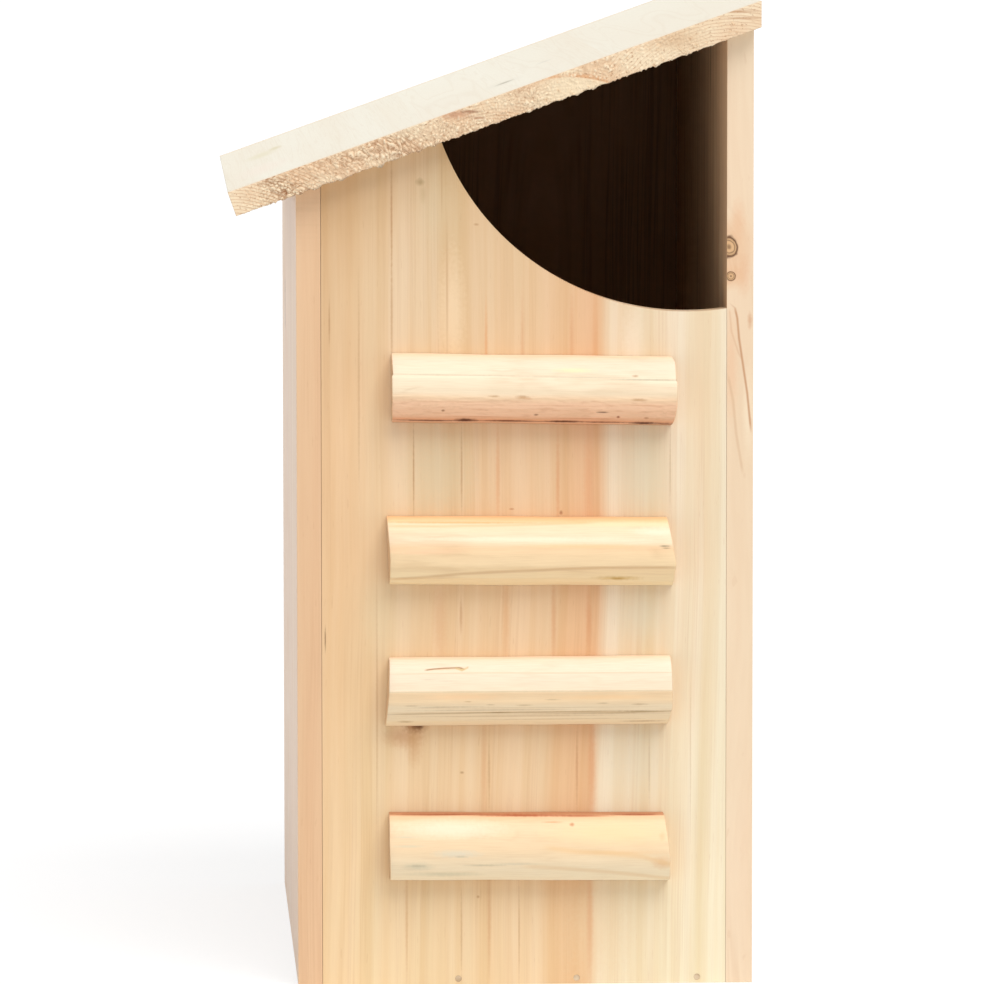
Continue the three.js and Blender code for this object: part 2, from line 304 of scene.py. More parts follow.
def pine(
    name, across, deep, along, pith, warm, late, base=None, bands=None, seed=0, lean=0, knots=(),
    marks=(), curves=(), tones=(), warm_share=0.5, line_share=0.25, dull=(0.56, 0.72), shine=0.35,
):
    """Planed pine: bands, growth lines and fibres that follow the rings round a pith. Its
    three axes run across the board, through it and along its grain."""
    made, tree = start_material(name)
    warm, late = tint(*warm), tint(*late)
    place = places(tree)
    side, run = place[across], place[along]
    leaning = plus(side, stretch(run, 0.03, 0.16, lean, 0))
    radius = distance(minus(leaning, pith[0]), minus(place[deep], pith[1]))
    wander = streaks(side, run, 9, 5, detail=1, seed=3)
    radius = plus(radius, times(wander, ring_wander))
    nears = []
    for centre, size, tall in knots:
        size *= MM
        near = reach(side, run, centre, size, size * tall)
        radius = plus(radius, stretch(near, 0, 4, size * 1.1, 0))
        nears.append(near)

    # Layers of grain, each wide or fine and with its own chance
    broad = stretch(streaks(radius, run, 75, 1.6, 2, seed), 0.36, 0.64)
    narrow = stretch(streaks(radius, run, 240, 3, 2, seed + 5), 0.42, 0.58)
    sallow = stretch(streaks(radius, run, 110, 4, 2, seed + 23), 0.42, 0.66)
    rings = streaks(radius, run, 420, 2.2, 3, seed + 7)
    ring_lines = calc("MAXIMUM", lines(rings, 0.5, 0.05), lines(rings, 0.6, 0.03))
    fade = stretch(streaks(radius, run, 130, 9, 2, seed + 11), 0.42, 0.62)
    ring_lines = times(ring_lines, fade)
    fibres = streaks(radius, run, 2200, 40, 2, seed + 13)
    pores = stretch(streaks(radius, run, 1500, 130, 1, seed + 17), 0.7, 0.76)
    if bands:
        low, high, stops = bands
        drift = minus(streaks(radius, run, 60, 7, 3, seed + 19), 0.5)
        edge = plus(leaning, times(drift, band_drift))
        colour = tint_ramp(stretch(edge, low, high), stops)
    else:
        colour = tint(*base)
    colour = mix(times(broad, warm_share), colour, warm, "MULTIPLY")
    colour = mix(times(narrow, warm_share * 0.6), colour, warm, "MULTIPLY")
    colour = mix(times(sallow, warm_share * 0.6), colour, sallow_wood, "MULTIPLY")
    colour = mix(times(ring_lines, line_share), colour, late)
    colour = mix(times(stretch(fibres, 0.35, 0.7), 0.07), colour, late)
    colour = mix(times(pores, 0.14), colour, late)

    # Tone ramps, among them painted light and painted shade, then stains, lines and knots, and the
    # darker end grain
    for tilt, low, high, stops in tones:
        level = minus(run, times(side, tilt))
        tone = ramp(stretch(level, low, high), stops)
        colour = mix(1, colour, tone, "MULTIPLY")
    colour = paint_marks(colour, side, run, marks)
    for points, half_width, stain, strength in curves:
        colour = paint_curve(colour, side, run, points, half_width, stain, strength)
    for near in nears:
        uneven = minus(streaks(side, run, 300, 300, 2, 37), 0.5)
        colour = paint_knot(colour, plus(near, times(uneven, 0.5)))
    facing = calc("ABSOLUTE", places(tree, "Normal")[along])
    colour = mix(stretch(facing, 0.8, 0.95, 0, 0.35), colour, late)
    roughness = stretch(fibres, 0.3, 0.7, *dull)
    height = minus(fibres, times(ring_lines, 0.5))
    return finish_material(made, colour, roughness, (height, 0.3, 0.1 * MM), shine)


def middle_of(low, high):
    """The point halfway between two corners."""
    return [(bottom + top) / 2 for bottom, top in zip(low, high)]


def start_block(name, low, high):
    """A block between two corners, with its place in its mesh."""
    bpy.ops.object.select_all(action="DESELECT")
    bpy.ops.mesh.primitive_cube_add(size=1)
    piece = bpy.context.active_object
    piece.name = name
    piece.scale = [top - bottom for bottom, top in zip(low, high)]
    piece.location = middle_of(low, high)
    bpy.ops.object.transform_apply()
    return piece


def slice_off(piece, point, normal):
    """Cuts away what lies past a plane and closes the cut."""
    bpy.context.view_layer.objects.active = piece
    bpy.ops.object.mode_set(mode="EDIT")
    bpy.ops.mesh.select_all(action="SELECT")
    bpy.ops.mesh.bisect(plane_co=point, plane_no=normal, use_fill=True, clear_outer=True)
    bpy.ops.object.mode_set(mode="OBJECT")


def combine(piece, operation):
    """Cuts the shape that was added last out of a piece or joins it on, and removes it."""
    other = bpy.context.active_object
    bpy.context.view_layer.objects.active = piece
    modifier = piece.modifiers.new("shape", "BOOLEAN")
    modifier.operation = operation
    modifier.solver = "EXACT"
    modifier.object = other
    bpy.ops.object.modifier_apply(modifier=modifier.name)
    bpy.data.objects.remove(other)


def soften(piece, width, segments=2, limit_degrees=40, smooth_degrees=12):
    """Rounds the sharp edges, and smooths the shading only where faces hardly turn."""
    bpy.ops.object.select_all(action="DESELECT")
    piece.select_set(True)
    bpy.context.view_layer.objects.active = piece
    modifier = piece.modifiers.new("round", "BEVEL")
    modifier.width = width
    modifier.segments = segments
    modifier.limit_method = "ANGLE"
    modifier.angle_limit = math.radians(limit_degrees)
    bpy.ops.object.modifier_apply(modifier=modifier.name)
    bpy.ops.object.shade_smooth_by_angle(angle=math.radians(smooth_degrees))


nail_pit_radius = 1.28 * MM
nail_pit_depth = 0.3 * MM
quarter = math.radians(90)


def nail_pits(piece, names, axis):
    """Sinks a pit round each nail's head, on the face that the nail goes through."""
    faces = [corner[axis] for corner in piece.bound_box]
    for name in names:
        low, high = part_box(name)
        middle = middle_of(low, high)
        near_low = abs(low[axis] - min(faces)) < abs(high[axis] - max(faces))
        middle[axis] = min(faces) if near_low else max(faces)
        bpy.ops.mesh.primitive_cylinder_add(
            vertices=16,
            radius=nail_pit_radius,
            depth=nail_pit_depth * 2,
            location=middle,
            rotation=(0, quarter, 0) if axis == 0 else (quarter, 0, 0),
        )
        combine(piece, "DIFFERENCE")


def nodes_named(start):
    """The frame's nodes whose names start with a word."""
    return sorted(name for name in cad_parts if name.startswith(start))


def dress(piece, body, slot, *node_names):
    """Lets a piece ride on its body and stand for its CAD nodes."""
    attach(piece, body)
    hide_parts(*node_names)


square_on = 0.9


def finish_faces(piece, material, inner, axis, sign):
    """Gives a board its wood, and the face that looks into the box a second material: on most
    boards the inside wood, darkened as painted shade.
    """
    piece.data.materials.append(material)
    piece.data.materials.append(inner)
    for face in piece.data.polygons:
        if face.normal[axis] * sign > square_on:
            face.material_index = 1


front_low, front_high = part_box("front_board")
back_low, back_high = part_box("back_board")
slope = math.atan2(back_high[2] - front_high[2], back_high[0] - front_high[0])
slope_normal = Vector((-math.sin(slope), 0, math.cos(slope)))
wall_top = Vector((back_high[0], 0, back_high[2]))
edge_round = 0.25 * MM

# Inside faces: pine darkened to a mid brown as painted shade, for the shade inside the box.
inside_painted_shade_wood = pine(
    "inside_painted_shade_wood", 0, 1, 2, (0.02, 0.06),
    base=(168, 122, 82), warm=(222, 211, 199), late=(92, 58, 32), seed=41, line_share=0.5,
)
front_board = start_block("front_board_wood", front_low, front_high)
slice_off(front_board, wall_top, slope_normal)
nail_pits(front_board, nodes_named("front_board_nail") + nodes_named("front_floor_nail"), axis=0)
soften(front_board, edge_round)
front_pine = pine(
    "front_pine", 1, 0, 2, (0.05, 0.03),
    base=(234, 198, 158), warm=(246, 232, 224), late=(196, 146, 104), seed=1,
    dull=(0.28, 0.42), shine=0.6,
    knots=[((0.085, 0.25), 6, 1.5)],
    # The broad dark mark across the top of this face is a painted shadow of the roof.
    marks=[((0, 0.3), 120, 30, (206, 166, 124), 0.7)],
)
finish_faces(front_board, front_pine, inside_painted_shade_wood, axis=0, sign=1)
dress(front_board, "box", "panel_pine", "front_board")


# Back board: the tall wall, of paler pine with knots at its near edge. It stands behind
# the entrance, and its top edge is planed to the roof's slope as well.
back_board = start_block("back_board_wood", back_low, back_high)
slice_off(back_board, wall_top, slope_normal)
nail_pits(back_board, nodes_named("back_board_nail") + nodes_named("back_floor_nail"), axis=0)
soften(back_board, edge_round)
back_pine = pine(
    "back_pine", 0, 1, 2, (0.12, 0.02),
    base=(244, 223, 194), warm=(248, 238, 231), late=(205, 162, 124), seed=5,
    knots=[((0.0786, 0.2858), 3.1, 1.25), ((0.0793, 0.2745), 1.65, 1)],
    marks=[
        ((0.0795, 0.24), 2.8, 20, (236, 192, 154), 0.55),
        ((0.0867, 0.2575), 1, 3.2, (206, 152, 112), 0.55),
        ((0.0842, 0.2755), 3, 8, (228, 178, 138), 0.5),
        ((0.0822, 0.296), 2.8, 8, (232, 184, 144), 0.45),
        ((0.086, 0.222), 2, 18, (248, 230, 200), 0.5),
    ],
    curves=[
        (
            [
                (0.0873, 0.2136), (0.0857, 0.2294), (0.0839, 0.2413), (0.0825, 0.2506),
                (0.0818, 0.2583), (0.0809, 0.2623), (0.0785, 0.2645),
            ],
            0.4, (190, 134, 92), 0.75,
        ),
        (
            [(0.0837, 0.242), (0.0822, 0.2452), (0.0796, 0.2531), (0.0787, 0.2623)],
            0.35, (208, 158, 116), 0.3,
        ),
        (
            [(0.0841, 0.1979), (0.0815, 0.2136), (0.0802, 0.2267), (0.0781, 0.2374)],
            0.5, (214, 178, 142), 0.5,
        ),
    ],
)
back_inner_pine = pine(
    "back_inner_pine", 1, 0, 2, (0.05, 0.02),
    base=(246, 208, 168), warm=(236, 222, 214), late=(150, 100, 62), seed=45, line_share=0.5,
    marks=[
        ((-0.056, 0.352), 1.2, 15, (70, 40, 20), 0.9),
        # A pale patch near the entrance: painted light falling in through it.
        ((-0.108, 0.276), 12, 14, (250, 214, 172), 0.6),
    ],
)
finish_faces(back_board, back_pine, back_inner_pine, axis=0, sign=-1)
back_board.data.materials.append(pine(
    "back_outer_pine", 1, 0, 2, (0.03, 0.05),
    base=(244, 221, 190), warm=(246, 235, 222), late=(202, 158, 118), seed=47,
    knots=[((-0.052, 0.118), 4, 1.25), ((0.071, 0.262), 2.4, 1.1)],
))
for face in back_board.data.polygons:
    if max(face.normal.x, face.normal.y) > square_on:
        face.material_index = 2
dress(back_board, "box", "back_pine", "back_board")


# Side panel with the entrance: a wide board let in between the other two. Its red
# heartwood ends in a line near its rear edge, and the entrance is sawn out of its corner.
entrance_low, entrance_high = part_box("entrance_side_panel")
entrance_radius = 101 * MM
entrance_centre_inset = 15 * MM
entrance_centre_rise = 1.4 * MM
entrance_steps = 160
roof_gap = 0.3 * MM
entrance_x = entrance_high[0] - entrance_centre_inset
roof_rise = math.tan(slope)
entrance_roof_z = back_high[2] + roof_gap - (back_high[0] - entrance_x) * roof_rise
entrance_z = entrance_roof_z + entrance_centre_rise
joint_fit = 0.1 * MM
entrance_panel = start_block(
    "entrance_panel_wood",
    (front_high[0] + joint_fit, entrance_low[1], entrance_low[2]),
    (back_low[0] - joint_fit, entrance_high[1], back_high[2]),
)
slice_off(entrance_panel, wall_top, slope_normal)
bpy.ops.mesh.primitive_cylinder_add(
    vertices=entrance_steps,
    radius=entrance_radius,
    depth=(entrance_high[1] - entrance_low[1]) * 2,
    location=(entrance_x, entrance_low[1], entrance_z),
    rotation=(quarter, 0, 0),
)
combine(entrance_panel, "DIFFERENCE")
panel_nails = nodes_named("entrance_side_floor_nail") + nodes_named("rung_nail")
nail_pits(entrance_panel, panel_nails, axis=1)
soften(entrance_panel, edge_round)
heart_bands = [
    (0, (240, 203, 163)),
    (0.12, (242, 211, 173)),
    (0.3, (240, 211, 175)),
    (0.52, (240, 207, 170)),
    (0.63, (239, 199, 161)),
    (0.682, (236, 192, 153)),
    (0.712, (242, 220, 192)),
    (0.85, (243, 225, 199)),
    (1, (245, 229, 202)),
]
plain_tone = (1, 1, 1, 1)
# Lighter towards the foot: partly the wood's own colour, partly painted light against the shade
# next to the floor.
foot_tone = (1.05, 1.12, 1.12, 1)
# Painted shadow of the roof: the panel darkened in a band below the roof's underside.
painted_roof_shadow_tones = [
    (0, plain_tone),
    (0.55, (0.92, 0.93, 0.93, 1)),
    (0.72, (0.89, 0.88, 0.86, 1)),
    (0.84, (0.84, 0.81, 0.76, 1)),
    (1, (0.86, 0.82, 0.76, 1)),
]
roof_line = back_high[2] - back_high[0] * roof_rise
dark_line = (186, 140, 98)
grey_green = (216, 200, 164)
panel_marks = [
    ((-0.033, 0.199), 13, 20, grey_green, 0.5),
    ((0.045, 0.198), 11, 20, (222, 210, 182), 0.5),
    ((-0.034, 0.302), 10, 18, grey_green, 0.3),
    ((0.044, 0.144), 10, 9, (224, 214, 188), 0.4),
    ((-0.056, 0.143), 7, 14, (228, 206, 166), 0.4),
    ((0.044, 0.088), 11, 16, (226, 214, 190), 0.4),
    ((-0.028, 0.26), 5, 24, (247, 218, 180), 0.6),
    ((0.0412, 0.245), 4, 22, (248, 229, 204), 0.6),
    ((-0.0403, 0.3112), 1.7, 1.5, (160, 130, 84), 0.55),
    ((-0.0392, 0.3065), 1.2, 3.5, (196, 166, 122), 0.4),
    ((-0.0187, 0.2948), 1, 0.5, (170, 120, 76), 0.5),
    ((-0.0245, 0.0828), 0.8, 0.5, (170, 124, 80), 0.6),
    ((-0.0183, 0.0343), 0.6, 0.6, (186, 130, 86), 0.6),
    ((0.0138, 0.1835), 0.7, 0.9, (160, 96, 54), 0.75),
    ((-0.0052, 0.185), 1, 0.4, (190, 120, 74), 0.6),
    ((-0.047, 0.0965), 8, 4, (206, 150, 100), 0.5),
    ((-0.043, 0.093), 3, 8, (204, 152, 102), 0.4),
    ((-0.0424, 0.1008), 4.5, 2.6, (160, 106, 58), 0.75),
    ((-0.0416, 0.1014), 2.4, 1.7, (96, 56, 26), 0.8),
    ((-0.0513, 0.2985), 0.45, 22, dark_line, 0.7),
    ((-0.043, 0.2), 0.35, 18, dark_line, 0.7),
    ((-0.0245, 0.2), 0.4, 16, dark_line, 0.6),
    ((-0.032, 0.31), 0.3, 14, dark_line, 0.4),
    ((0.027, 0.025), 13, 32, (236, 206, 164), 0.6),
    ((0.025, 0.29), 11, 16, (234, 202, 160), 0.5),
    ((-0.0248, 0.1437), 0.6, 7, (196, 142, 98), 0.5),
    ((-0.014, 0.0824), 0.45, 13, dark_line, 0.45),
    ((0.02, 0.084), 0.5, 15, (196, 138, 96), 0.5),
    ((0.0246, 0.1413), 1.2, 13, (216, 150, 104), 0.5),
    ((-0.0248, 0.0207), 0.4, 17, dark_line, 0.45),
    ((-0.0024, 0.0207), 0.4, 17, dark_line, 0.4),
    ((-0.0573, 0.1118), 0.5, 46, dark_line, 0.35),
    ((-0.001, 0.248), 0.8, 22, (214, 160, 116), 0.4),
    ((-0.03, 0.27), 0.5, 26, dark_line, 0.35),
    ((0.056, 0.2), 0.35, 16, (196, 164, 124), 0.5),
    ((0.048, 0.085), 0.35, 14, (196, 164, 124), 0.45),
    ((0.064, 0.09), 0.3, 30, (206, 176, 136), 0.4),
    ((-0.0753, 0.257), 0.35, 9, (180, 136, 96), 0.6),
    ((-0.064, 0.235), 0.5, 40, dark_line, 0.35),
    ((-0.0513, 0.26), 0.5, 26, dark_line, 0.5),
    ((-0.015, 0.248), 0.6, 18, (222, 150, 96), 0.45),
    ((-0.0105, 0.198), 0.9, 18, (220, 156, 108), 0.45),
    ((0.0126, 0.196), 0.8, 20, (218, 152, 104), 0.5),
    ((0.0245, 0.196), 2, 22, (226, 164, 118), 0.5),
    ((0.018, 0.248), 0.9, 20, (218, 158, 112), 0.45),
    ((0.027, 0.248), 1.2, 18, (222, 164, 118), 0.45),
    ((-0.033, 0.142), 3, 16, (222, 170, 122), 0.45),
    ((-0.0075, 0.142), 1.6, 16, (224, 170, 122), 0.45),
    ((0.011, 0.142), 1, 18, (216, 156, 110), 0.5),
    ((-0.016, 0.084), 1.2, 20, (222, 170, 124), 0.45),
    ((0.0258, 0.084), 1.6, 20, (222, 154, 106), 0.5),
    ((0.025, 0.025), 1.4, 24, (222, 160, 112), 0.5),
    ((-0.046, 0.025), 0.6, 22, (210, 164, 118), 0.5),
    ((-0.014, 0.025), 0.7, 22, (212, 160, 114), 0.5),
    ((-0.0772, 0.135), 0.3, 5, (110, 74, 44), 0.7),
]
entrance_pine = pine(
    "entrance_panel_pine", 0, 1, 2, (-0.16, -0.02),
    warm=(245, 234, 216), late=(196, 146, 104), seed=9,
    bands=(entrance_low[0], entrance_high[0], heart_bands), lean=4 * MM, marks=panel_marks,
    tones=[
        # lighter towards the foot, partly painted light
        (0, 0, 0.17, [(0, foot_tone), (1, plain_tone)]),
        # painted shadow of the roof, below its underside
        (roof_rise, roof_line - 0.1, roof_line, painted_roof_shadow_tones),
    ],
    warm_share=0.7, line_share=0.16,
)
finish_faces(entrance_panel, entrance_pine, inside_painted_shade_wood, axis=1, sign=1)
dress(entrance_panel, "box", "panel_pine", "entrance_side_panel")


# Plain side panel: the fourth wall, a whole board of the same pine as the one with the
# entrance. It is let in between the front and back boards, and nails hold it.
plain_low, plain_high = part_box("plain_side_panel")
plain_top = (plain_high[0], plain_high[1], back_high[2])
plain_panel = start_block("plain_panel_wood", plain_low, plain_top)
slice_off(plain_panel, wall_top, slope_normal)
nail_pits(plain_panel, nodes_named("plain_side_floor_nail"), axis=1)
soften(plain_panel, edge_round)
plain_pine = pine(
    "plain_panel_pine", 0, 1, 2, (0.1, 0.03),
    base=(241, 209, 168), warm=(245, 230, 224), late=(198, 150, 108), seed=15,
    knots=[((-0.02, 0.21), 5, 1.3)],
)
finish_faces(plain_panel, plain_pine, inside_painted_shade_wood, axis=1, sign=-1)
dress(plain_panel, "box", "panel_pine", "plain_side_panel")


# Floor: a pine board let in between the four walls, flush with their feet. The nails
# through the walls' lower edges hold it.
floor_low, floor_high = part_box("floor_board")
floor_board = start_block("floor_board_wood", floor_low, floor_high)
soften(floor_board, edge_round)
floor_pine = pine(
    "floor_pine", 0, 2, 1, (0.02, 0.07),
    base=(240, 212, 174), warm=(248, 237, 229), late=(204, 158, 116), seed=21,
)
finish_faces(floor_board, floor_pine, inside_painted_shade_wood, axis=2, sign=1)
dress(floor_board, "box", "back_pine", "floor_board")


# Roof: one pale board glued up from four staves, its grain from side to side. Its top is
# planed, and its ends are left woolly and torn by a coarse saw.
roof_low, roof_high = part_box("roof_board")
roof_thickness = 9.5 * MM
roof_end_cells = (720, 34)
roof_loops = (0.6 * MM, 2.2 * MM)
toe_low = Vector((roof_low[0] + roof_thickness * math.sin(slope), 0, roof_low[2]))
toe_high = toe_low + slope_normal * roof_thickness
heel_high = Vector((roof_high[0], 0, roof_high[2]))
heel_low = heel_high - Vector((0, 0, roof_thickness / math.cos(slope)))

bpy.ops.object.select_all(action="DESELECT")
bpy.ops.mesh.primitive_grid_add(
    x_subdivisions=roof_end_cells[0],
    y_subdivisions=roof_end_cells[1],
    size=1,
    location=(0, roof_low[1], 0),
    rotation=(quarter, 0, 0),
)
roof_board = bpy.context.active_object
roof_board.name = "roof_board_wood"
bpy.ops.object.transform_apply()
for vertex in roof_board.data.vertices:
    run, rise = vertex.co.x + 0.5, vertex.co.z + 0.5
    place = toe_low.lerp(heel_low, run).lerp(toe_high.lerp(heel_high, run), rise)
    vertex.co = (place.x, vertex.co.y, place.z)
bpy.ops.object.mode_set(mode="EDIT")
bpy.ops.mesh.select_all(action="SELECT")
roof_middle = roof_high[1] - roof_low[1] - sum(roof_loops) * 2
for step in (*roof_loops, roof_middle, *reversed(roof_loops)):
    bpy.ops.mesh.extrude_region_move(TRANSFORM_OT_translate={"value": (0, step, 0)})
bpy.ops.object.mode_set(mode="OBJECT")


def face_outwards():
    """Turns the faces of the piece in hand outwards."""
    bpy.ops.object.mode_set(mode="EDIT")
    bpy.ops.mesh.select_all(action="SELECT")
    bpy.ops.mesh.normals_make_consistent(inside=False)
    bpy.ops.object.mode_set(mode="OBJECT")


face_outwards()
pith_steps = [
    (-0.04, 0.0035, 0.0316),
    (-0.116, -0.009, 0.0169, 0.0799),
    (0.24, 0.293, 0.3054, 0.3172),
]
ring_step = 1.25 * MM
wool_height = 1.0 * MM
arris_drop = 1.0 * MM
tufts = [(-0.0705, 1.3 * MM), (-0.0555, 1.1 * MM)]
tuft_width = 2 * MM
end_reach = 0.1 * MM
arris_share = 0.01
far_end_share = 0.6
wool_start, wool_stop = 0.02, 0.97
bend_grain, clump_grain, fine_grain = 300, 420, 2400
patch_grain = (45, 60)
wave_grain, jag_grain = 330, 1100
wool_seed = 3
noise.seed_set(wool_seed)


def hold(value, low=0, high=1):
    """A number held between two others."""
    return max(low, min(high, value))


def wool(x, z, seed):
    """Torn fibre ends on sawn end grain, from 0 in the gaps to 1 on the tufts, ring by ring."""
    stave = sum(x > joint for joint in pith_steps[0])
    across, up = x - pith_steps[1][stave], z - pith_steps[2][stave]
    bend = noise.noise_vector((x * bend_grain, seed, z * bend_grain)) * 1.2
    ring, turn = math.hypot(across, up) / ring_step, math.atan2(across, up)
    nearest = noise.voronoi(Vector((ring * 0.9, seed, turn * 34)) + bend)[0]
    gap = min(1, (nearest[1] - nearest[0]) * 1.7)
    clump = noise.noise((x * clump_grain, seed + 5, z * clump_grain)) * 0.5 + 0.5
    fine = noise.noise((x * fine_grain, seed, z * fine_grain)) * 0.5 + 0.5
    return hold(gap * (0.4 + 0.4 * clump) + fine * 0.3 + clump * 0.25 - 0.24)


torn = roof_board.data.attributes.new("torn", "FLOAT", "POINT")
for vertex in roof_board.data.vertices:
    x, y, z = vertex.co
    near_end = y < roof_low[1] + end_reach
    far_end = y > roof_high[1] - end_reach
    if not (near_end or far_end):
        continue
    side = -1 if near_end else 1
    above = (Vector((x, 0, z)) - toe_low).dot(slope_normal) / roof_thickness
    run = (x - roof_low[0]) / (roof_high[0] - roof_low[0])
    woolly = hold((run - wool_start) * 16) * hold((wool_stop - run) * 8)
    patch = noise.noise((x * patch_grain[0], 7 * side, z * patch_grain[1]))
    strength = (0.2 + 0.8 * woolly) * min(1, 0.8 + 0.5 * patch)
    strength *= 1 - 0.25 * hold((run - 0.45) * 5)
    lump = wool(x, z, 11 * side)
    torn.data[vertex.index].value = lump * strength + (1 - strength) * 0.6
    out = lump * strength * wool_height
    if above < arris_share:
        wave = noise.noise((x * wave_grain, 3 * side, 1))
        jag = noise.noise((x * jag_grain, 5 * side, 2))
        drop = (wave + 0.7 * jag + 0.15) * arris_drop * (0.1 + 0.9 * woolly)
        if near_end:
            drop += sum(size * max(0, 1 - abs(x - at) / tuft_width) for at, size in tufts)
        vertex.co.z -= drop
        out *= 0.7
    elif above > 1 - arris_share:
        out *= 0.3
    if near_end:
        vertex.co.y -= out
    else:
        vertex.co.y -= wool_height * far_end_share - out * far_end_share
bpy.ops.object.shade_smooth()


# Where the roof's looks change, in metres: along x, in from its ends, and for the smooth
# wedge in one stave also by the distance from that stave's pith.
joint_width = 0.1 * MM
ring_wobble = 1.6 * MM
end_depths = (1.4 * MM, 0.6 * MM)
arris_depths = (14 * MM, 2 * MM)
toe_run = (-0.085, -0.062)
heel_run = (0.045, 0.075)
wedge_start = (0.001, 0.004)
wedge_stop = (0.0312, 0.0316)
wedge_fade = (0.002, 0.016)
wedge_arc = (0.0459, 0.0463)
wedge_line = (0.0468, 1.3 * MM)


def roof_wood():
    """Pale pine with rings round a heart of its own in each stave, and woolly ends with painted
    shade in their gaps and a painted highlight on their tufts.
    """
    made, tree = start_material("roof_pine")
    x, y, z = places(tree)
    joints, pith_xs, pith_zs = pith_steps
    pith_x, pith_z, stave = pith_xs[0], pith_zs[0], 0
    for index, joint in enumerate(joints):
        past = stretch(x, joint, joint + joint_width)
        pith_x = plus(times(past, pith_xs[index + 1] - pith_xs[index]), pith_x)
        pith_z = plus(times(past, pith_zs[index + 1] - pith_zs[index]), pith_z)
        stave = plus(past, stave)
    arc = distance(minus(x, pith_x), minus(z, pith_z))
    wobble = times(streaks(x, z, 110, 110, 2, 5), ring_wobble)
    radius = plus(arc, wobble)
    outward = calc("ABSOLUTE", y)
    end = stretch(outward, *(roof_high[1] - depth for depth in end_depths))

    # The planed faces
    seeded = plus(radius, times(stave, 0.37))
    broad = stretch(streaks(seeded, y, 90, 2.0, 2, 61), 0.38, 0.66)
    rings = streaks(seeded, y, 420, 3, 2, 63)
    ring_lines = calc("MAXIMUM", lines(rings, 0.48, 0.03), lines(rings, 0.58, 0.02))
    fibres = streaks(x, y, 2400, 60, 2, 65)
    stave = calc("ROUND", stave)
    shade = node(tree, "TexWhiteNoise", {"W": stave}, noise_dimensions="1D").outputs["Value"]
    face = mix(stretch(shade, 0, 1, 0, 0.35), tint(243, 238, 222), tint(238, 229, 210))
    face = mix(times(broad, 0.25), face, tint(234, 216, 190))
    face = mix(times(ring_lines, 0.1), face, tint(206, 178, 142))
    face = mix(stretch(fibres, 0.4, 0.75, 0, 0.06), face, tint(196, 170, 138))
    near_arris = stretch(outward, *(roof_high[1] - depth for depth in arris_depths), 0, 0.45)
    face = mix(near_arris, face, tint(238, 216, 184))
    face = paint_marks(face, x, y, [
        ((-0.0985, 0.036), 6, 22, (224, 214, 176), 0.5),
        ((-0.0925, 0.052), 2.6, 13, (210, 196, 146), 0.5),
        ((-0.005, -0.075), 7, 16, (226, 220, 202), 0.45),
        ((-0.0047, -0.0757), 3.5, 5.5, (160, 146, 118), 0.65),
        ((0.0134, -0.0259), 3, 5, (206, 200, 184), 0.4),
        ((-0.099, -0.07), 10, 40, (244, 228, 212), 0.5),
    ])

    # The sawn ends, with painted shade in the gaps between the torn tufts and a painted highlight
    # on the tufts
    torn = node(tree, "Attribute", attribute_name="torn").outputs["Fac"]
    age = calc("DIVIDE", radius, ring_step)
    ring = calc("FRACT", age)
    late_ring = times(stretch(ring, 0.62, 0.92), stretch(ring, 0.93, 0.99, 1, 0))
    patchy = stretch(streaks(x, z, 120, 150, 2, 71), 0.35, 0.6, 0.1, 1)
    toe, heel = stretch(x, *toe_run, 1, 0), stretch(x, *heel_run)
    ends = calc("MAXIMUM", toe, heel)
    late_ring = times(late_ring, calc("MAXIMUM", times(patchy, 0.75), ends))
    pink = stretch(streaks(x, z, 55, 90, 2, 73), 0.4, 0.62)
    cut = mix(pink, tint(243, 221, 188), tint(236, 204, 168))
    cut = mix(times(late_ring, 0.8), cut, tint(198, 148, 106))
    in_stave = times(stretch(x, *wedge_start), stretch(x, *wedge_stop, 1, 0))
    wedge = times(stretch(arc, *wedge_arc, 1, 0), in_stave)
    wedge = times(wedge, stretch(x, *wedge_fade, 0.1, 1))
    broken = stretch(streaks(x, z, 160, 420, 2, 79), 0.3, 0.6, 0.3, 1)
    over_wedge = times(times(lines(arc, *wedge_line), in_stave), broken)
    cut = mix(times(over_wedge, 0.75), cut, tint(226, 166, 116))
    # Painted shade in the gaps between the tufts, stronger in some patches, then a painted
    # highlight on the tufts.
    painted_shade_patches = stretch(streaks(x, z, 70, 110, 2, 83), 0.4, 0.62, 0.5, 1.3)
    painted_shade_weight = times(stretch(x, -0.085, -0.055, 0.85, 0.55), painted_shade_patches)
    gaps = times(stretch(torn, 0.04, 0.3, 1, 0), painted_shade_weight)
    cut = mix(gaps, cut, tint(158, 108, 70))
    painted_tuft_highlight = times(stretch(torn, 0.35, 0.7), minus(0.85, times(ends, 0.5)))
    cut = mix(painted_tuft_highlight, cut, tint(252, 234, 203))
    specks = stretch(streaks(x, z, 900, 900, 2, 75), 0.6, 0.68)
    cut = mix(times(specks, 0.55), cut, tint(170, 116, 76))
    cut = mix(times(wedge, 0.75), cut, tint(245, 224, 190))
    cut = paint_marks(cut, x, z, [
        ((-0.027, 0.3375), 7, 1.9, (198, 142, 108), 0.65),
        ((-0.021, 0.3385), 4, 0.6, (150, 96, 66), 0.7),
        ((-0.018, 0.336), 3, 0.5, (166, 110, 80), 0.6),
        ((-0.105, 0.314), 7, 2.2, (232, 196, 170), 0.5),
        ((0.058, 0.366), 12, 5, (222, 188, 150), 0.6),
        ((0.08, 0.3765), 9, 0.7, (190, 140, 102), 0.7),
        ((0.083, 0.374), 8, 0.6, (196, 148, 110), 0.6),
    ])
    grit = streaks(x, z, 2200, 2200, 3, 77)
    height = plus(times(fibres, 0.25), times(grit, end))
    colour, roughness = mix(end, face, cut), stretch(end, 0, 1, 0.6, 0.88)
    return finish_material(made, colour, roughness, (height, 0.5, 0.25 * MM), shine=0.35)


roof_board.data.materials.append(roof_wood())
dress(roof_board, "roof", "roof_pine", "roof_board")


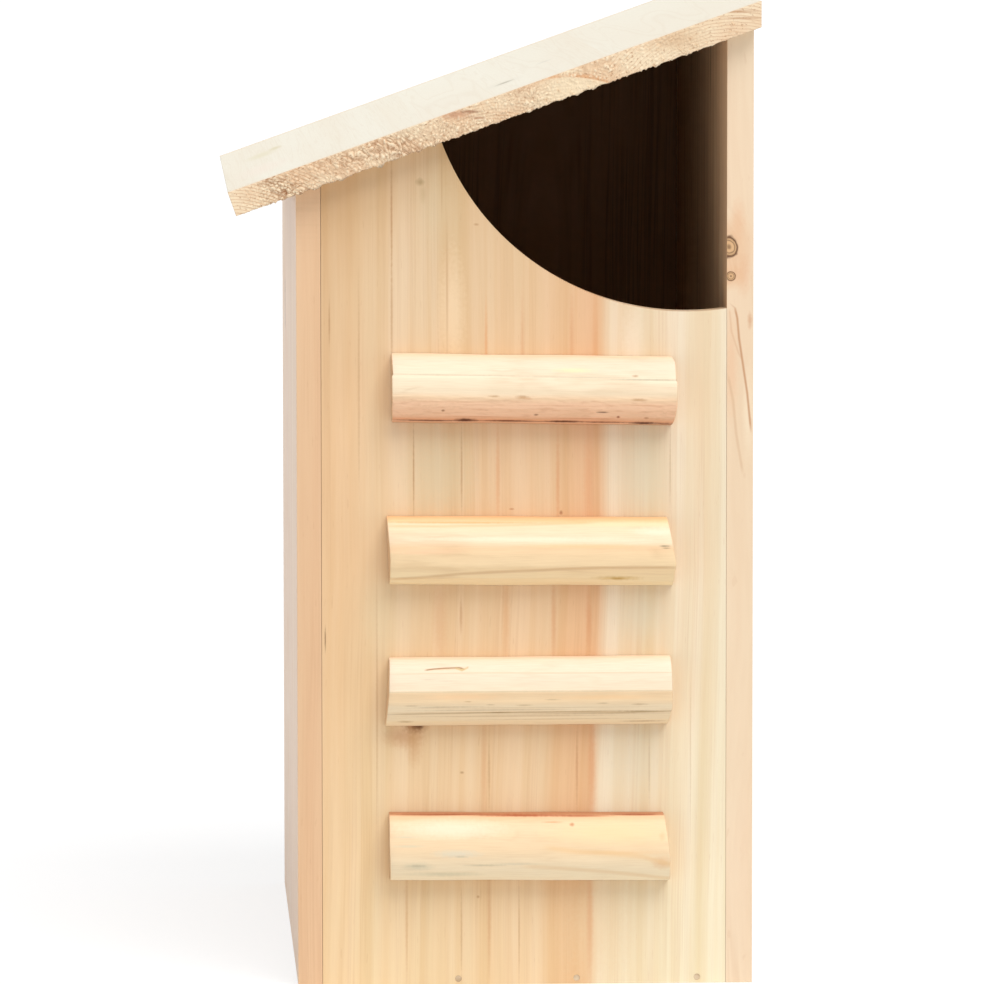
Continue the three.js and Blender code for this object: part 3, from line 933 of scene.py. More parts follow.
# Fibres: splinters of the roof's own pine that the coarse saw left on its near end, most
# of them along the lower arris. They are one piece, and ride with the roof.
fibre_count = 150
fibre_seed = 5
fibre_run = (0.04, 0.97)
fibre_highest = 0.8
fibre_lengths_mm = (0.7, 1.9)
fibre_radii_mm = (0.12, 0.3)
fibre_tip_radius = 0.04 * MM
fibre_root_depth = 0.3 * MM
fibre_chance = random.Random(fibre_seed)
bpy.ops.object.select_all(action="DESELECT")
fibres = []
for index in range(fibre_count):
    run = fibre_chance.uniform(*fibre_run)
    rise = fibre_chance.random() ** 3 * fibre_highest
    root = toe_low.lerp(heel_low, run) + slope_normal * roof_thickness * rise
    length = fibre_chance.uniform(*fibre_lengths_mm) * MM
    swing, lean = fibre_chance.uniform(-70, 70), fibre_chance.uniform(-50, 50)
    bpy.ops.mesh.primitive_cone_add(
        vertices=5,
        radius1=fibre_chance.uniform(*fibre_radii_mm) * MM,
        radius2=fibre_tip_radius,
        depth=length,
        location=(root.x, roof_low[1] - fibre_root_depth, root.z),
        rotation=(math.radians(90 + swing * 0.5), math.radians(lean), math.radians(swing)),
    )
    fibres.append(bpy.context.active_object)
for fibre in fibres:
    fibre.select_set(True)
bpy.ops.object.join()
roof_fibres = bpy.context.active_object
roof_fibres.name = "roof_end_fibres"
bpy.ops.object.transform_apply()
fuzz, tree = start_material("torn_fibre")
x, y, z = places(tree)
worn = stretch(streaks(x, z, 500, 500, 2, 81), 0.35, 0.65)
fuzz_colour = mix(worn, tint(246, 226, 194), tint(232, 198, 160))
finish_material(fuzz, fuzz_colour, stretch(worn, 0, 1, 0.8, 0.95))
roof_fibres.data.materials.append(fuzz)
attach(roof_fibres, "roof")


# Rungs: four pieces of peeled branch split down the middle and nailed on as a ladder.
# Each has the flats that the peeling left along it, and colours of its own; its lower bands are
# lightened as painted light.
rung_length = 108.5 * MM
rung_sides = 320
rung_cuts = 96
rung_smooth_degrees = 30
rung_seeds = (101, 111, 121, 131)
rung_wave_mm = 0.35
rung_wave_grain = 4
rung_lump_mm = 0.22
rung_lump_grain = (9, 5)
bark_flake_mm = 0.16
bark_torn_grain = (60, 30)
bark_flake_grain = (160, 70)
turn_share, height_share = 0.45, 0.55
back_touch = 0.1 * MM
end_round = [(0.4 * MM, 0), (0.1 * MM, 0.2 * MM), (0, 0.45 * MM)]


def along_curve(points, share):
    """The value at a share of a line given by its points."""
    for (low, first), (high, second) in zip(points, points[1:]):
        if share <= high:
            return first + (second - first) * (share - low) / (high - low)
    return points[-1][1]


def eased(points, share, width):
    """The mean of a line over a short width, so that its corners run out softly."""
    width *= min(1, share * 5, (1 - share) * 5)
    steps = (-1, -0.5, 0, 0.5, 1)
    return sum(along_curve(points, share + step * width) for step in steps) / len(steps)


def skin_noise(run, down, grain, seed):
    """Noise over a rung's skin, finer for a larger grain along it and down it."""
    return noise.noise((run * grain[0], down * grain[1], seed))


def branch_half(name, lean, flats, ends, seed, rough, ease):
    """A split branch. Flats are shares of its height and of how far it stands out."""
    low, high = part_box(name)
    centre = Vector(middle_of(low, high))
    half_height = (high[2] - low[2] - rung_length * math.sin(abs(lean))) / 2
    proud = high[1] - low[1]
    bpy.ops.object.select_all(action="DESELECT")
    bpy.ops.mesh.primitive_circle_add(
        vertices=rung_sides,
        radius=1,
        fill_type="NGON",
        location=(-0.5, 0, 0),
        rotation=(0, quarter, 0),
    )
    piece = bpy.context.active_object
    piece.name = name + "_branch"
    bpy.ops.object.transform_apply()
    bpy.ops.object.mode_set(mode="EDIT")
    bpy.ops.mesh.select_all(action="SELECT")
    bpy.ops.mesh.bisect(plane_co=(0, 0, 0), plane_no=(0, 1, 0), clear_outer=True)
    bpy.ops.mesh.select_all(action="SELECT")
    steps = rung_cuts + 1
    for step in range(steps):
        bpy.ops.mesh.extrude_region_move(TRANSFORM_OT_translate={"value": (1 / steps, 0, 0)})
    bpy.ops.object.mode_set(mode="OBJECT")
    for vertex in piece.data.vertices:
        x, y, z = vertex.co
        run = x + 0.5
        loop = round(run * steps)
        turned = math.acos(hold(z, -1)) / math.pi
        down = turned * turn_share + (1 - z) / 2 * height_share
        left, right = (eased(side, down, ease) for side in flats)
        stand = left * (1 - run) + right * run
        wave = noise.noise((run * rung_wave_grain, seed, 0)) * rung_wave_mm * MM
        lump = skin_noise(run, down, rung_lump_grain, seed) * rung_lump_mm * MM
        if rough and rough[0] < down < rough[1]:
            torn_away = skin_noise(run, down, bark_torn_grain, seed)
            flaked = skin_noise(run, down, bark_flake_grain, seed)
            lump += (torn_away + 0.5 * flaked) * bark_flake_mm * MM
        on_back = y > -back_touch
        place_y = high[1] if on_back else high[1] - stand * proud - lump * min(1, stand * 3)
        start = -rung_length / 2 + along_curve(ends[0], down) * MM
        stop = rung_length / 2 - along_curve(ends[1], down) * MM
        place_x = start + (stop - start) * run
        place_z = half_height * (1 - 2 * down) + wave * (0.5 - down) * 1.5
        from_end = min(loop, steps - loop)
        if from_end < len(end_round):
            inset, back = end_round[from_end]
            place_x = start + back if loop == from_end else stop - back
            sideways = place_y - high[1]
            shrink = 1 - inset / max(inset, math.hypot(sideways, place_z))
            place_y = high[1] + sideways * shrink
            place_z *= shrink
        vertex.co = (
            centre.x + place_x,
            hold(place_y, low[1], high[1]),
            centre.z + place_z - place_x * math.tan(lean),
        )
    face_outwards()
    bpy.ops.object.shade_smooth_by_angle(angle=math.radians(rung_smooth_degrees))
    return piece, centre, half_height


rung_late, rung_heart, rung_end_ring = tint(200, 158, 112), tint(226, 190, 148), tint(176, 124, 82)
rung_ring_step = 1.6 * MM
rung_pith_depth = 8 * MM


def peeled_wood(
    name, centre, half_height, lean, seed, bands, marks, curves=(), specks=None, drift_share=0.05,
    ring_share=0.2,
):
    """Peeled branch: bands down its height, the lower ones partly painted light, fibres along it
    and marks at shares of it.
    """
    made, tree = start_material(name)
    x, y, z = places(tree)
    height = half_height * 2
    run = minus(x, centre.x - rung_length / 2)
    drop = times(minus(x, centre.x), -math.tan(lean))
    down = plus(minus(centre.z + half_height, z), drop)
    drift = minus(streaks(run, down, 22, 120, 2, seed), 0.5)
    share = plus(calc("DIVIDE", down, height), times(drift, drift_share))
    colour = tint_ramp(share, bands)
    inward = minus(y, centre.y + rung_pith_depth)
    radius = distance(inward, minus(down, half_height))
    rings = streaks(radius, run, 900, 9, 2, seed + 3)
    fade = stretch(streaks(run, down, 30, 200, 2, seed + 5), 0.45, 0.6)
    ring_lines = times(lines(rings, 0.5, 0.03), fade)
    fibres = streaks(down, run, 2800, 90, 2, seed + 7)
    colour = mix(times(ring_lines, ring_share), colour, rung_late)
    colour = mix(stretch(fibres, 0.4, 0.75, 0, 0.14), colour, rung_late)
    if specks:
        low, high, stain = specks
        starts = stretch(share, low, low + 0.06)
        inside = times(starts, stretch(share, high, high + 0.03, 1, 0))
        flakes = stretch(streaks(run, down, 130, 620, 3, seed + 9), 0.54, 0.68)
        colour = mix(times(times(flakes, inside), 0.35), colour, tint(*stain))
    shaped = [
        ((at * rung_length, level * height), long, tall, stain, strength)
        for at, level, long, tall, stain, strength in marks
    ]
    colour = paint_marks(colour, run, down, shaped)
    for points, thick, stain, strength in curves:
        points = [(level * height, at * rung_length) for at, level in points]
        colour = paint_curve(colour, down, run, points, thick, stain, strength)
    sawn = stretch(calc("ABSOLUTE", places(tree, "Normal")[0]), 0.75, 0.95)
    age = calc("FRACT", calc("DIVIDE", radius, rung_ring_step))
    end_colour = mix(times(lines(age, 0.7, 0.25), 0.5), rung_heart, rung_end_ring)
    colour = mix(sawn, colour, end_colour)
    roughness = stretch(fibres, 0.3, 0.7, 0.56, 0.74)
    return finish_material(made, colour, roughness, (fibres, 0.35, 0.12 * MM), shine=0.22)


def make_rung(number, tilt, flats, ends, bands, marks, rough=None, ease=0.02, **wood):
    """Makes a rung of its wood and sets it on the box. Flats and ends are its left and right ones.
    """
    name = f"rung_{number}"
    lean = math.radians(tilt)
    piece, centre, half_height = branch_half(name, lean, flats, ends, number, rough, ease)
    seed = rung_seeds[number - 1]
    material = peeled_wood(name + "_wood", centre, half_height, lean, seed, bands, marks, **wood)
    piece.data.materials.append(material)
    dress(piece, "box", "rung_pine", name)


make_rung(
    1, tilt=0.9,
    flats=[
        [
            (0, 0), (0.02, 0.34), (0.08, 0.6), (0.18, 0.8), (0.27, 0.9), (0.285, 0.89),
            (0.31, 0.95), (0.45, 1), (0.6, 0.985), (0.75, 0.88), (0.9, 0.66), (0.925, 0.58),
            (0.94, 0.5), (0.955, 0.5), (0.97, 0.36), (1, 0),
        ],
        [
            (0, 0), (0.02, 0.34), (0.08, 0.6), (0.18, 0.8), (0.31, 0.92), (0.325, 0.91),
            (0.35, 0.955), (0.48, 1), (0.6, 0.985), (0.75, 0.89), (0.86, 0.74), (0.92, 0.62),
            (0.94, 0.52), (0.955, 0.5), (0.975, 0.36), (1, 0),
        ],
    ],
    ends=[
        [(0, -1.1), (0.27, -0.8), (0.3, -1.2), (1, -1)],
        [(0, 1.3), (0.06, 0.6), (0.3, 0.5), (0.36, 0), (0.7, 0.1), (0.9, 0.9), (1, 1.6)],
    ],
    bands=[
        (0, (246, 218, 186)), (0.06, (250, 224, 198)), (0.3, (250, 232, 203)),
        (0.52, (250, 229, 197)), (0.6, (248, 214, 176)), (0.68, (250, 206, 170)),
        (0.85, (247, 200, 164)), (0.93, (230, 168, 128)), (0.96, (240, 188, 152)),
        (1, (214, 160, 120)),
    ],
    marks=[
        (0.2, 0.272, 30, 0.3, (206, 192, 164), 0.6), (0.62, 0.285, 26, 0.26, (206, 194, 168), 0.5),
        (0.9, 0.31, 16, 0.35, (190, 180, 154), 0.65), (0.85, 0.26, 1.2, 0.5, (196, 156, 118), 0.7),
        (0.63, 0.19, 8, 0.9, (244, 238, 186), 0.6), (0.35, 0.57, 2.2, 0.5, (204, 164, 122), 0.7),
        (0.45, 0.58, 2.6, 0.8, (196, 150, 106), 0.7), (0.47, 0.6, 1.6, 0.5, (216, 170, 130), 0.6),
        (0.86, 0.6, 3, 0.6, (200, 156, 114), 0.7), (0.2, 0.66, 16, 0.3, (226, 176, 138), 0.5),
        (0.6, 0.7, 20, 0.35, (226, 174, 138), 0.5), (0.88, 0.68, 10, 0.4, (224, 172, 134), 0.5),
        (0.17, 0.79, 0.7, 0.5, (150, 102, 70), 0.8), (0.5, 0.84, 0.9, 0.4, (140, 94, 66), 0.8),
        (0.735, 0.79, 2.6, 0.35, (110, 80, 60), 0.8), (0.79, 0.86, 0.7, 0.5, (150, 80, 52), 0.9),
        (0.89, 0.87, 0.9, 0.4, (176, 112, 78), 0.7), (0.3, 0.88, 14, 0.3, (212, 150, 112), 0.6),
        (0.68, 0.89, 16, 0.3, (208, 144, 106), 0.6), (0.5, 0.945, 62, 0.24, (150, 92, 60), 0.7),
        (0.12, 0.948, 12, 0.4, (130, 74, 46), 0.85), (0.25, 0.935, 4.5, 0.8, (92, 46, 26), 0.95),
        (0.4, 0.94, 9, 0.45, (120, 66, 40), 0.9), (0.6, 0.94, 7, 0.55, (92, 46, 26), 0.9),
        (0.74, 0.945, 8, 0.35, (130, 74, 46), 0.85), (0.885, 0.955, 6, 0.7, (92, 46, 26), 0.95),
        (0.96, 0.965, 4, 0.5, (130, 74, 46), 0.85),
    ],
    rough=(0.56, 1), ease=0.014, specks=(0.58, 0.93, (206, 152, 114)),
)
make_rung(
    2, tilt=0.5,
    flats=[
        [
            (0, 0), (0.015, 0.3), (0.06, 0.52), (0.2, 0.82), (0.36, 0.96), (0.5, 1), (0.7, 0.93),
            (0.84, 0.78), (0.875, 0.74), (0.9, 0.56), (0.96, 0.34), (1, 0),
        ],
        [
            (0, 0), (0.015, 0.3), (0.06, 0.52), (0.2, 0.82), (0.36, 0.96), (0.5, 1), (0.6, 0.985),
            (0.68, 0.95), (0.7, 0.92), (0.8, 0.7), (0.93, 0.42), (1, 0),
        ],
    ],
    ends=[
        [(0, -0.9), (0.6, 0.2), (1, 0.1)],
        [(0, 1.1), (0.1, 0.7), (0.65, -1.7), (0.8, -1.3), (1, -1.1)],
    ],
    bands=[
        (0, (240, 190, 140)), (0.05, (247, 208, 158)), (0.1, (250, 222, 186)),
        (0.32, (251, 227, 194)), (0.42, (247, 211, 168)), (0.52, (249, 219, 176)),
        (0.7, (250, 222, 178)), (1, (250, 228, 184)),
    ],
    marks=[
        (0.25, 0.07, 30, 0.4, (232, 178, 116), 0.7), (0.12, 0.47, 14, 1.2, (248, 206, 166), 0.7),
        (0.7, 0.39, 26, 1, (246, 208, 156), 0.6), (0.5, 0.29, 40, 0.9, (254, 240, 210), 0.6),
        # The pale mark at 0.95 along, near the top, on the next line is a painted highlight.
        (0.85, 0.085, 26, 1.1, (251, 226, 182), 0.75), (0.95, 0.18, 10, 1.6, (253, 240, 214), 0.6),
        (0.81, 0.865, 9, 1, (218, 184, 120), 0.75), (0.81, 0.872, 3, 0.5, (192, 152, 84), 0.75),
        (0.975, 0.38, 2.2, 0.35, (140, 126, 100), 0.8),
        (0.98, 0.41, 1.8, 0.3, (150, 130, 100), 0.7),
    ],
    curves=[
        (
            [
                (-0.04, 0.89), (0.01, 0.888), (0.13, 0.854), (0.26, 0.8), (0.37, 0.775),
                (0.51, 0.746), (0.65, 0.716), (0.75, 0.698), (1.06, 0.69),
            ],
            0.55, (208, 168, 122), 0.5,
        ),
        ([(-0.04, 0.12), (0.2, 0.12), (0.45, 0.1), (0.75, 0.06)], 0.4, (240, 186, 126), 0.4),
    ],
)
peel_3 = [
    (0, 0), (0.015, 0.33), (0.08, 0.6), (0.18, 0.81), (0.2, 0.84), (0.32, 0.93), (0.45, 0.985),
    (0.47, 1), (0.62, 0.95), (0.76, 0.81), (0.78, 0.77), (0.9, 0.56), (0.98, 0.3), (1, 0),
]
make_rung(
    3, tilt=-0.1,
    flats=[peel_3, peel_3],
    ends=[
        [(0, -0.75), (0.5, -1.1), (1, -2.2)],
        [(0, 0.5), (0.7, 0.2), (1, 1.6)],
    ],
    bands=[
        (0, (248, 218, 188)), (0.05, (249, 227, 203)), (0.44, (246, 226, 197)),
        (0.475, (238, 208, 168)), (0.6, (248, 219, 178)), (0.68, (245, 225, 191)),
        (0.8, (244, 223, 188)), (0.93, (248, 226, 188)), (1, (242, 214, 174)),
    ],
    marks=[
        (0.19, 0.14, 8, 0.45, (246, 206, 168), 0.5), (0.25, 0.14, 1.4, 0.5, (206, 178, 122), 0.6),
        (0.3, 0.455, 60, 0.35, (216, 196, 160), 0.7), (0.8, 0.46, 30, 0.35, (218, 198, 164), 0.7),
        (0.13, 0.28, 3, 0.3, (222, 208, 182), 0.6), (0.2, 0.3, 4, 0.3, (222, 208, 182), 0.6),
        (0.5, 0.7, 56, 0.3, (204, 176, 136), 0.35), (0.35, 0.73, 30, 0.25, (178, 150, 112), 0.5),
        (0.7, 0.8, 34, 0.25, (184, 156, 116), 0.55), (0.45, 0.83, 40, 0.3, (200, 168, 124), 0.5),
        (0.9, 0.93, 9, 0.35, (170, 132, 90), 0.6), (0.2, 0.68, 14, 0.25, (184, 160, 122), 0.5),
        (0.25, 0.53, 16, 1.3, (250, 210, 164), 0.65), (0.76, 0.55, 20, 1, (248, 208, 158), 0.6),
        (0.27, 0.6, 1.6, 0.3, (200, 166, 122), 0.6), (0.35, 0.65, 1.6, 0.3, (190, 164, 124), 0.5),
        (0.47, 0.66, 3, 0.35, (196, 170, 130), 0.5), (0.57, 0.58, 3, 0.3, (196, 170, 130), 0.5),
        (0.75, 0.64, 2.4, 0.35, (190, 164, 124), 0.5),
        (0.88, 0.66, 3.4, 0.4, (196, 168, 128), 0.55), (0.07, 0.66, 3, 0.3, (196, 170, 130), 0.5),
        (0.4, 0.765, 42, 0.22, (206, 178, 138), 0.5), (0.38, 0.77, 5, 0.3, (160, 138, 100), 0.7),
        (0.88, 0.77, 8, 0.4, (160, 136, 98), 0.6), (0.75, 0.76, 20, 0.25, (190, 162, 120), 0.5),
        (0.5, 0.86, 26, 0.25, (252, 232, 198), 0.6), (0.6, 0.905, 30, 0.22, (252, 230, 194), 0.6),
        (0.6, 0.885, 30, 0.2, (206, 172, 128), 0.6), (0.05, 0.91, 3, 0.5, (190, 160, 118), 0.6),
    ],
    curves=[
        (
            [(0.115, 0.152), (0.15, 0.135), (0.19, 0.125), (0.24, 0.12), (0.26, 0.135)],
            0.24, (156, 112, 70), 0.8,
        ),
        ([(0.225, 0.12), (0.25, 0.155), (0.275, 0.112)], 0.35, (206, 180, 122), 0.6),
        ([(-0.04, 0.2), (0.3, 0.19), (0.6, 0.2), (1.06, 0.205)], 0.25, (222, 204, 172), 0.65),
        (
            [(-0.04, 0.79), (0.3, 0.775), (0.6, 0.77), (0.85, 0.785), (1.06, 0.76)],
            0.26, (182, 152, 110), 0.6,
        ),
    ],
    drift_share=0.03, ring_share=0.1,
)
peel_4 = [
    (0, 0), (0.02, 0.3), (0.05, 0.42), (0.065, 0.5), (0.12, 0.66), (0.28, 0.87), (0.45, 0.98),
    (0.6, 1), (0.75, 0.93), (0.88, 0.75), (0.955, 0.56), (0.97, 0.42), (1, 0),
]
make_rung(
    4, tilt=0.4,
    flats=[peel_4, peel_4],
    ends=[
        [(0, 0.1), (0.4, 0), (1, 0.5)],
        [(0, 2), (0.3, 1), (0.6, 0.1), (1, 0)],
    ],
    bands=[
        (0, (186, 128, 92)), (0.018, (196, 138, 100)), (0.038, (244, 200, 160)),
        (0.12, (246, 216, 178)), (0.5, (242, 214, 175)), (0.75, (247, 228, 194)),
        # The palest bands, near the lower edge, paint a highlight along it.
        (0.94, (250, 234, 201)), (0.97, (251, 238, 210)), (1, (238, 210, 168)),
    ],
    marks=[
        (0.2, 0.02, 20, 0.25, (160, 90, 58), 0.85), (0.47, 0.03, 16, 0.45, (170, 84, 48), 0.85),
        (0.68, 0.035, 12, 0.35, (176, 96, 60), 0.8), (0.88, 0.02, 12, 0.25, (160, 84, 54), 0.85),
        (0.8, 0.25, 26, 5, (251, 218, 170), 0.7), (0.22, 0.2, 20, 3.5, (252, 234, 206), 0.7),
        (0.65, 0.14, 1, 0.7, (206, 140, 96), 0.75), (0.58, 0.11, 4, 0.3, (216, 166, 122), 0.7),
        (0.8, 0.53, 18, 1, (240, 200, 150), 0.55), (0.97, 0.68, 4, 2.6, (234, 190, 142), 0.6),
        (0.97, 0.3, 1.2, 1.6, (232, 194, 146), 0.5), (0.24, 0.55, 9, 1.6, (222, 216, 196), 0.6),
        (0.255, 0.59, 2.6, 0.4, (188, 176, 148), 0.45), (0.1, 0.74, 6, 1.6, (214, 206, 178), 0.6),
        (0.1, 0.73, 3.6, 0.5, (186, 172, 140), 0.45), (0.34, 0.72, 8, 0.5, (206, 190, 158), 0.6),
        (0.06, 0.31, 5, 0.5, (220, 210, 184), 0.55), (0.2, 0.86, 14, 1, (216, 206, 174), 0.6),
        (0.45, 0.7, 10, 0.6, (220, 206, 178), 0.5), (0.07, 0.44, 6, 0.6, (218, 208, 182), 0.5),
    ],
    curves=[
        (
            [(0.54, 0.45), (0.66, 0.51), (0.78, 0.54), (0.9, 0.59), (1.06, 0.78)],
            0.9, (238, 200, 150), 0.55,
        ),
        (
            [(0.46, 0.73), (0.62, 0.77), (0.75, 0.81), (0.88, 0.87), (1.06, 0.96)],
            0.7, (234, 202, 158), 0.5,
        ),
    ],
    ease=0.07, ring_share=0.12,
)


# Nails: short steel wire nails with flat heads, driven through the walls into the floor,
# the side panels and the rungs, their heads just below the face of the wood.
nail_head_radius = 1.25 * MM
nail_shank_radius = 0.65 * MM
nail_head_thickness = 0.5 * MM
nail_point_length = 1.6 * MM
nail_tip_radius = 0.05 * MM
steel_round = 0.12 * MM


def worn_steel(name, bright, dull, rust, rust_share, roughness):
    """Dull steel with grey patches, brown spots and fine scratches."""
    made, tree = start_material(name)
    place = node(tree, "TexCoord").outputs["Object"]
    patches = node(tree, "TexNoise", {"Vector": place, "Scale": 260, "Detail": 4}).outputs["Fac"]
    spots = node(tree, "TexNoise", {"Vector": place, "Scale": 1100, "Detail": 3}).outputs["Fac"]
    colour = mix(stretch(patches, 0.35, 0.65), tint(*bright), tint(*dull))
    rusty = stretch(spots, 0.68 - rust_share, 0.76, 0, 0.7)
    colour = mix(rusty, colour, tint(*rust))
    uneven = stretch(patches, 0.3, 0.7, roughness, roughness + 0.2)
    return finish_material(made, colour, uneven, (spots, 0.4, 0.05 * MM), metallic=0.75)


nail_steel = worn_steel(
    "nail_steel", (226, 206, 178), (200, 176, 146), (150, 112, 78),
    rust_share=0.06, roughness=0.5,
)
nail_runs = [
    ("front_board_nail", 0, 1),
    ("front_floor_nail", 0, 1),
    ("back_board_nail", 0, -1),
    ("back_floor_nail", 0, -1),
    ("entrance_side_floor_nail", 1, 1),
    ("plain_side_floor_nail", 1, -1),
    ("rung_nail", 1, -1),
]


def wire_nail(name, length):
    """A nail that stands on its head at the origin and points along +Z."""
    bpy.ops.object.select_all(action="DESELECT")
    bpy.ops.mesh.primitive_cylinder_add(
        vertices=24,
        radius=nail_head_radius,
        depth=nail_head_thickness,
        location=(0, 0, nail_head_thickness / 2),
    )
    piece = bpy.context.active_object
    bpy.ops.object.transform_apply()
    shank_length = length - nail_point_length
    bpy.ops.mesh.primitive_cylinder_add(
        vertices=24,
        radius=nail_shank_radius,
        depth=shank_length,
        location=(0, 0, shank_length / 2 + nail_tip_radius),
    )
    combine(piece, "UNION")
    bpy.ops.mesh.primitive_cone_add(
        vertices=24,
        radius1=nail_shank_radius,
        radius2=nail_tip_radius,
        depth=nail_point_length,
        location=(0, 0, length - nail_point_length / 2),
    )
    combine(piece, "UNION")
    piece.name = name
    soften(piece, steel_round, limit_degrees=50, smooth_degrees=35)
    return piece


def put_copy(pattern, name, axis, direction, head, material, body, slot, node_name):
    """A copy of a fastener with its own mesh, set in place along an axis."""
    piece = pattern.copy()
    piece.data = pattern.data.copy()
    piece.name = name
    bpy.context.collection.objects.link(piece)
    aim = [0, 0, 0]
    aim[axis] = direction
    piece.rotation_euler = Vector((0, 0, 1)).rotation_difference(Vector(aim)).to_euler()
    piece.location = head
    bpy.ops.object.select_all(action="DESELECT")
    piece.select_set(True)
    bpy.context.view_layer.objects.active = piece
    bpy.ops.object.transform_apply()
    piece.data.materials.append(material)
    dress(piece, body, slot, node_name)


for start, axis, direction in nail_runs:
    pattern = None
    for name in nodes_named(start):
        low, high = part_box(name)
        if pattern is None:
            pattern = wire_nail(start + "_pattern", high[axis] - low[axis])
        head = middle_of(low, high)
        head[axis] = low[axis] if direction > 0 else high[axis]
        wire = name + "_wire"
        put_copy(pattern, wire, axis, direction, head, nail_steel, "box", "fastener_steel", name)
    bpy.data.objects.remove(pattern)


# Hinges: two small butt hinges on the back, of plated steel. Each has a leaf on the back
# board, a leaf on the roof's end, and a pin through their rolled knuckles.
leaf_thickness = 0.9 * MM
leaf_corner_round = 2 * MM
pin_end_round = 0.25 * MM
barrel_radius = 1.55 * MM
bore_radius = 0.9 * MM
knuckle_gap = 0.3 * MM
screw_head_radius = 1.8 * MM
screw_head_depth = 1.3 * MM
screw_hole_gap = 0.1 * MM
edge_reach = 0.1 * MM
knuckle_overlap = 0.2 * MM
plated_steel = worn_steel(
    "plated_steel", (222, 202, 150), (196, 172, 118), (150, 112, 66),
    rust_share=0.04, roughness=0.32,
)
pin_low, pin_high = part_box("near_hinge_pin")
pin_middle = middle_of(pin_low, pin_high)
pin_x, pin_z = pin_middle[0], pin_middle[2]
leaf_width = pin_high[1] - pin_low[1]
knuckle_length = (leaf_width - knuckle_gap * 2) / 3
knuckle_step = knuckle_length + knuckle_gap


def hinge_leaf(name, node_name, screw_names, knuckle_places):
    """A leaf about the middle of its pin: plate, knuckles, bore and countersunk holes."""
    low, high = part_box(node_name)
    above = high[2] - pin_z > pin_z - low[2]
    plate_x = (barrel_radius - leaf_thickness) if above else -barrel_radius
    edge_z = barrel_radius + knuckle_gap
    foot, top = (edge_z, high[2] - pin_z) if above else (low[2] - pin_z, -edge_z)
    free_z = top if above else foot
    outer_x = plate_x + leaf_thickness
    piece = start_block(name, (plate_x, -leaf_width / 2, foot), (outer_x, leaf_width / 2, top))
    bpy.ops.object.mode_set(mode="EDIT")
    bpy.ops.mesh.select_mode(type="EDGE")
    bpy.ops.mesh.select_all(action="DESELECT")
    bpy.ops.object.mode_set(mode="OBJECT")
    for edge in piece.data.edges:
        first, second = (piece.data.vertices[index].co for index in edge.vertices)
        edge.select = abs(first.x - second.x) > edge_reach and abs(first.z - free_z) < edge_reach
    bpy.ops.object.mode_set(mode="EDIT")
    bpy.ops.mesh.bevel(offset=leaf_corner_round, segments=6, affect="EDGES")
    bpy.ops.object.mode_set(mode="OBJECT")
    for place in knuckle_places:
        neck_end = edge_z + knuckle_overlap
        neck_low, neck_high = (0, neck_end) if above else (-neck_end, 0)
        start_block(
            "neck",
            (plate_x, place - knuckle_length / 2, neck_low),
            (outer_x, place + knuckle_length / 2, neck_high),
        )
        combine(piece, "UNION")
        bpy.ops.mesh.primitive_cylinder_add(
            vertices=40,
            radius=barrel_radius,
            depth=knuckle_length,
            location=(0, place, 0),
            rotation=(quarter, 0, 0),
        )
        combine(piece, "UNION")
    bpy.ops.mesh.primitive_cylinder_add(
        vertices=32, radius=bore_radius, depth=leaf_width * 2, rotation=(quarter, 0, 0)
    )
    combine(piece, "DIFFERENCE")
    narrowing = (screw_head_radius - nail_shank_radius) / screw_head_depth
    for screw_name in screw_names:
        screw = middle_of(*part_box(screw_name))
        bpy.ops.mesh.primitive_cone_add(
            vertices=32,
            radius1=screw_head_radius + screw_hole_gap - narrowing * leaf_thickness * 1.5,
            radius2=screw_head_radius + screw_hole_gap + narrowing * leaf_thickness * 0.5,
            depth=leaf_thickness * 2,
            location=(
                plate_x + leaf_thickness / 2,
                screw[1] - (low[1] + high[1]) / 2,
                screw[2] - pin_z,
            ),
            rotation=(0, quarter, 0),
        )
        combine(piece, "DIFFERENCE")
    soften(piece, steel_round, limit_degrees=35)
    return piece


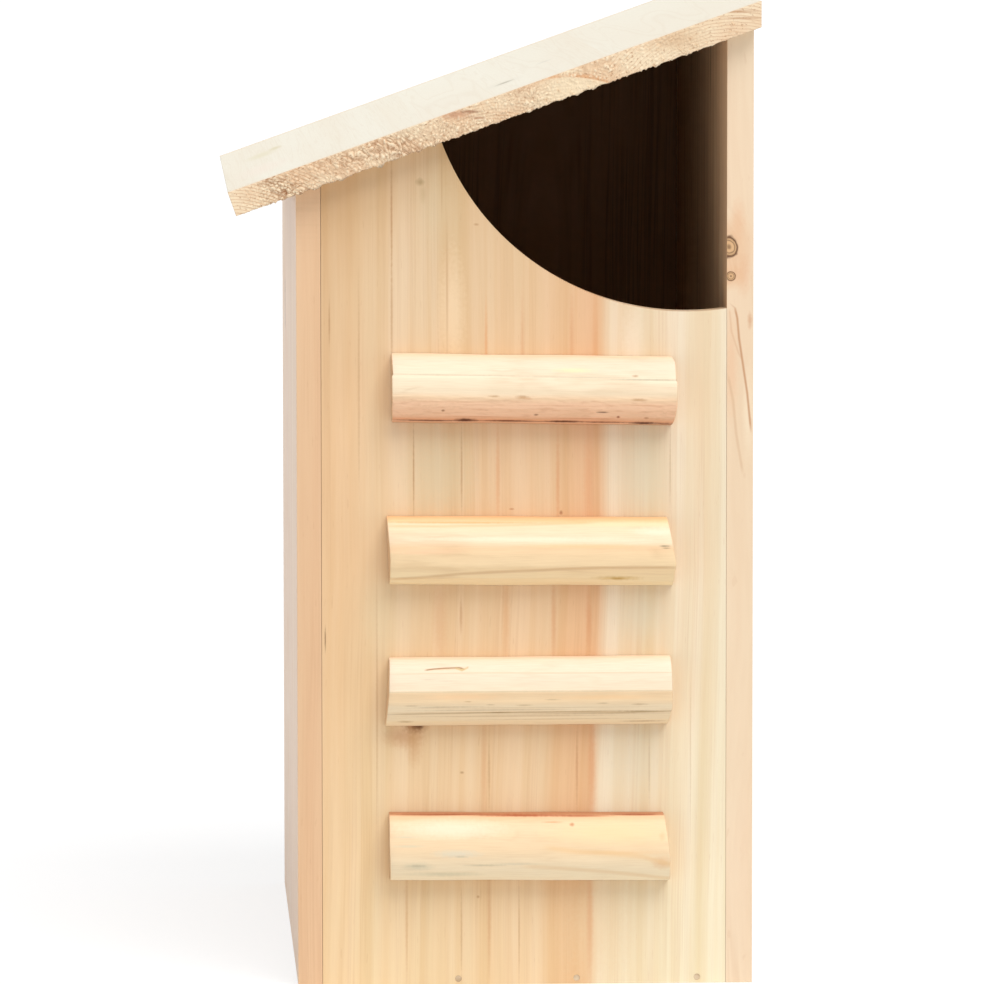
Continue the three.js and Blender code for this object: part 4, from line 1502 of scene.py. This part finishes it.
def wood_screw(name, length):
    """A countersunk screw with its head's face at the origin, and its point along +Z."""
    thread_pitch = 1.1 * MM
    core, crest = 0.62 * MM, 0.9 * MM
    thread_start, point_start = 2.2 * MM, length - 2 * MM
    tip_share = 0.06
    ridge_share = 0.24
    loops = 90
    bpy.ops.object.select_all(action="DESELECT")
    bpy.ops.mesh.primitive_circle_add(vertices=32, radius=1, fill_type="NGON")
    piece = bpy.context.active_object
    piece.name = name
    bpy.ops.object.mode_set(mode="EDIT")
    bpy.ops.mesh.select_all(action="SELECT")
    for loop in range(loops):
        bpy.ops.mesh.extrude_region_move(TRANSFORM_OT_translate={"value": (0, 0, length / loops)})
    bpy.ops.object.mode_set(mode="OBJECT")
    for vertex in piece.data.vertices:
        x, y, z = vertex.co
        turn = math.atan2(y, x) / (2 * math.pi)
        if z < screw_head_depth:
            radius = screw_head_radius + (core - screw_head_radius) * z / screw_head_depth
        else:
            phase = (z / thread_pitch - turn) % 1
            ridge = max(0, 1 - abs(phase - 0.5) / ridge_share)
            ridge *= hold((z - thread_start) / thread_pitch)
            radius = core + (crest - core) * ridge
            radius *= hold((length - z) / (length - point_start), tip_share)
        vertex.co = (x * radius, y * radius, z)
    face_outwards()
    slot_long, slot_wide, slot_deep = 2.2 * MM, 0.5 * MM, 0.8 * MM
    for wide, tall in ((slot_long, slot_wide), (slot_wide, slot_long)):
        corner = (wide / 2, tall / 2, slot_deep)
        start_block("cutter", [-side for side in corner], corner)
        combine(piece, "DIFFERENCE")
    soften(piece, 0.06 * MM, segments=1, limit_degrees=60, smooth_degrees=40)
    return piece


hinge_middles = {side: middle_of(*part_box(side + "_hinge_pin"))[1] for side in ("near", "far")}
for part, body, screws, knuckles in (
    ("board_leaf", "box", "hinge_board_screw", (-knuckle_step, knuckle_step)),
    ("roof_leaf", "roof", "hinge_roof_screw", (0,)),
):
    screw_nodes = nodes_named(screws)
    pattern = hinge_leaf(part + "_pattern", "near_hinge_" + part, screw_nodes[:2], knuckles)
    for side, middle in hinge_middles.items():
        node_name = side + "_hinge_" + part
        put_copy(
            pattern, node_name + "_plate", 2, 1, (pin_x, middle, pin_z), plated_steel, body,
            "hinge_steel", node_name,
        )
    bpy.data.objects.remove(pattern)
    screw_low, screw_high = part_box(screw_nodes[0])
    pattern = wood_screw(part + "_screw_pattern", screw_high[0] - screw_low[0])
    for name in screw_nodes:
        low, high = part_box(name)
        head = [high[0]] + middle_of(low, high)[1:]
        put_copy(pattern, name + "_cross", 0, -1, head, plated_steel, body, "fastener_steel", name)
    bpy.data.objects.remove(pattern)

bpy.ops.object.select_all(action="DESELECT")
pin_radius = (pin_high[0] - pin_low[0]) / 2
bpy.ops.mesh.primitive_cylinder_add(vertices=32, radius=pin_radius, depth=leaf_width)
pattern = bpy.context.active_object
soften(pattern, pin_end_round, segments=3, smooth_degrees=40)
for side, middle in hinge_middles.items():
    put_copy(
        pattern, side + "_hinge_pin_wire", 1, 1, (pin_x, middle, pin_z), plated_steel, "box",
        "fastener_steel", side + "_hinge_pin",
    )
bpy.data.objects.remove(pattern)
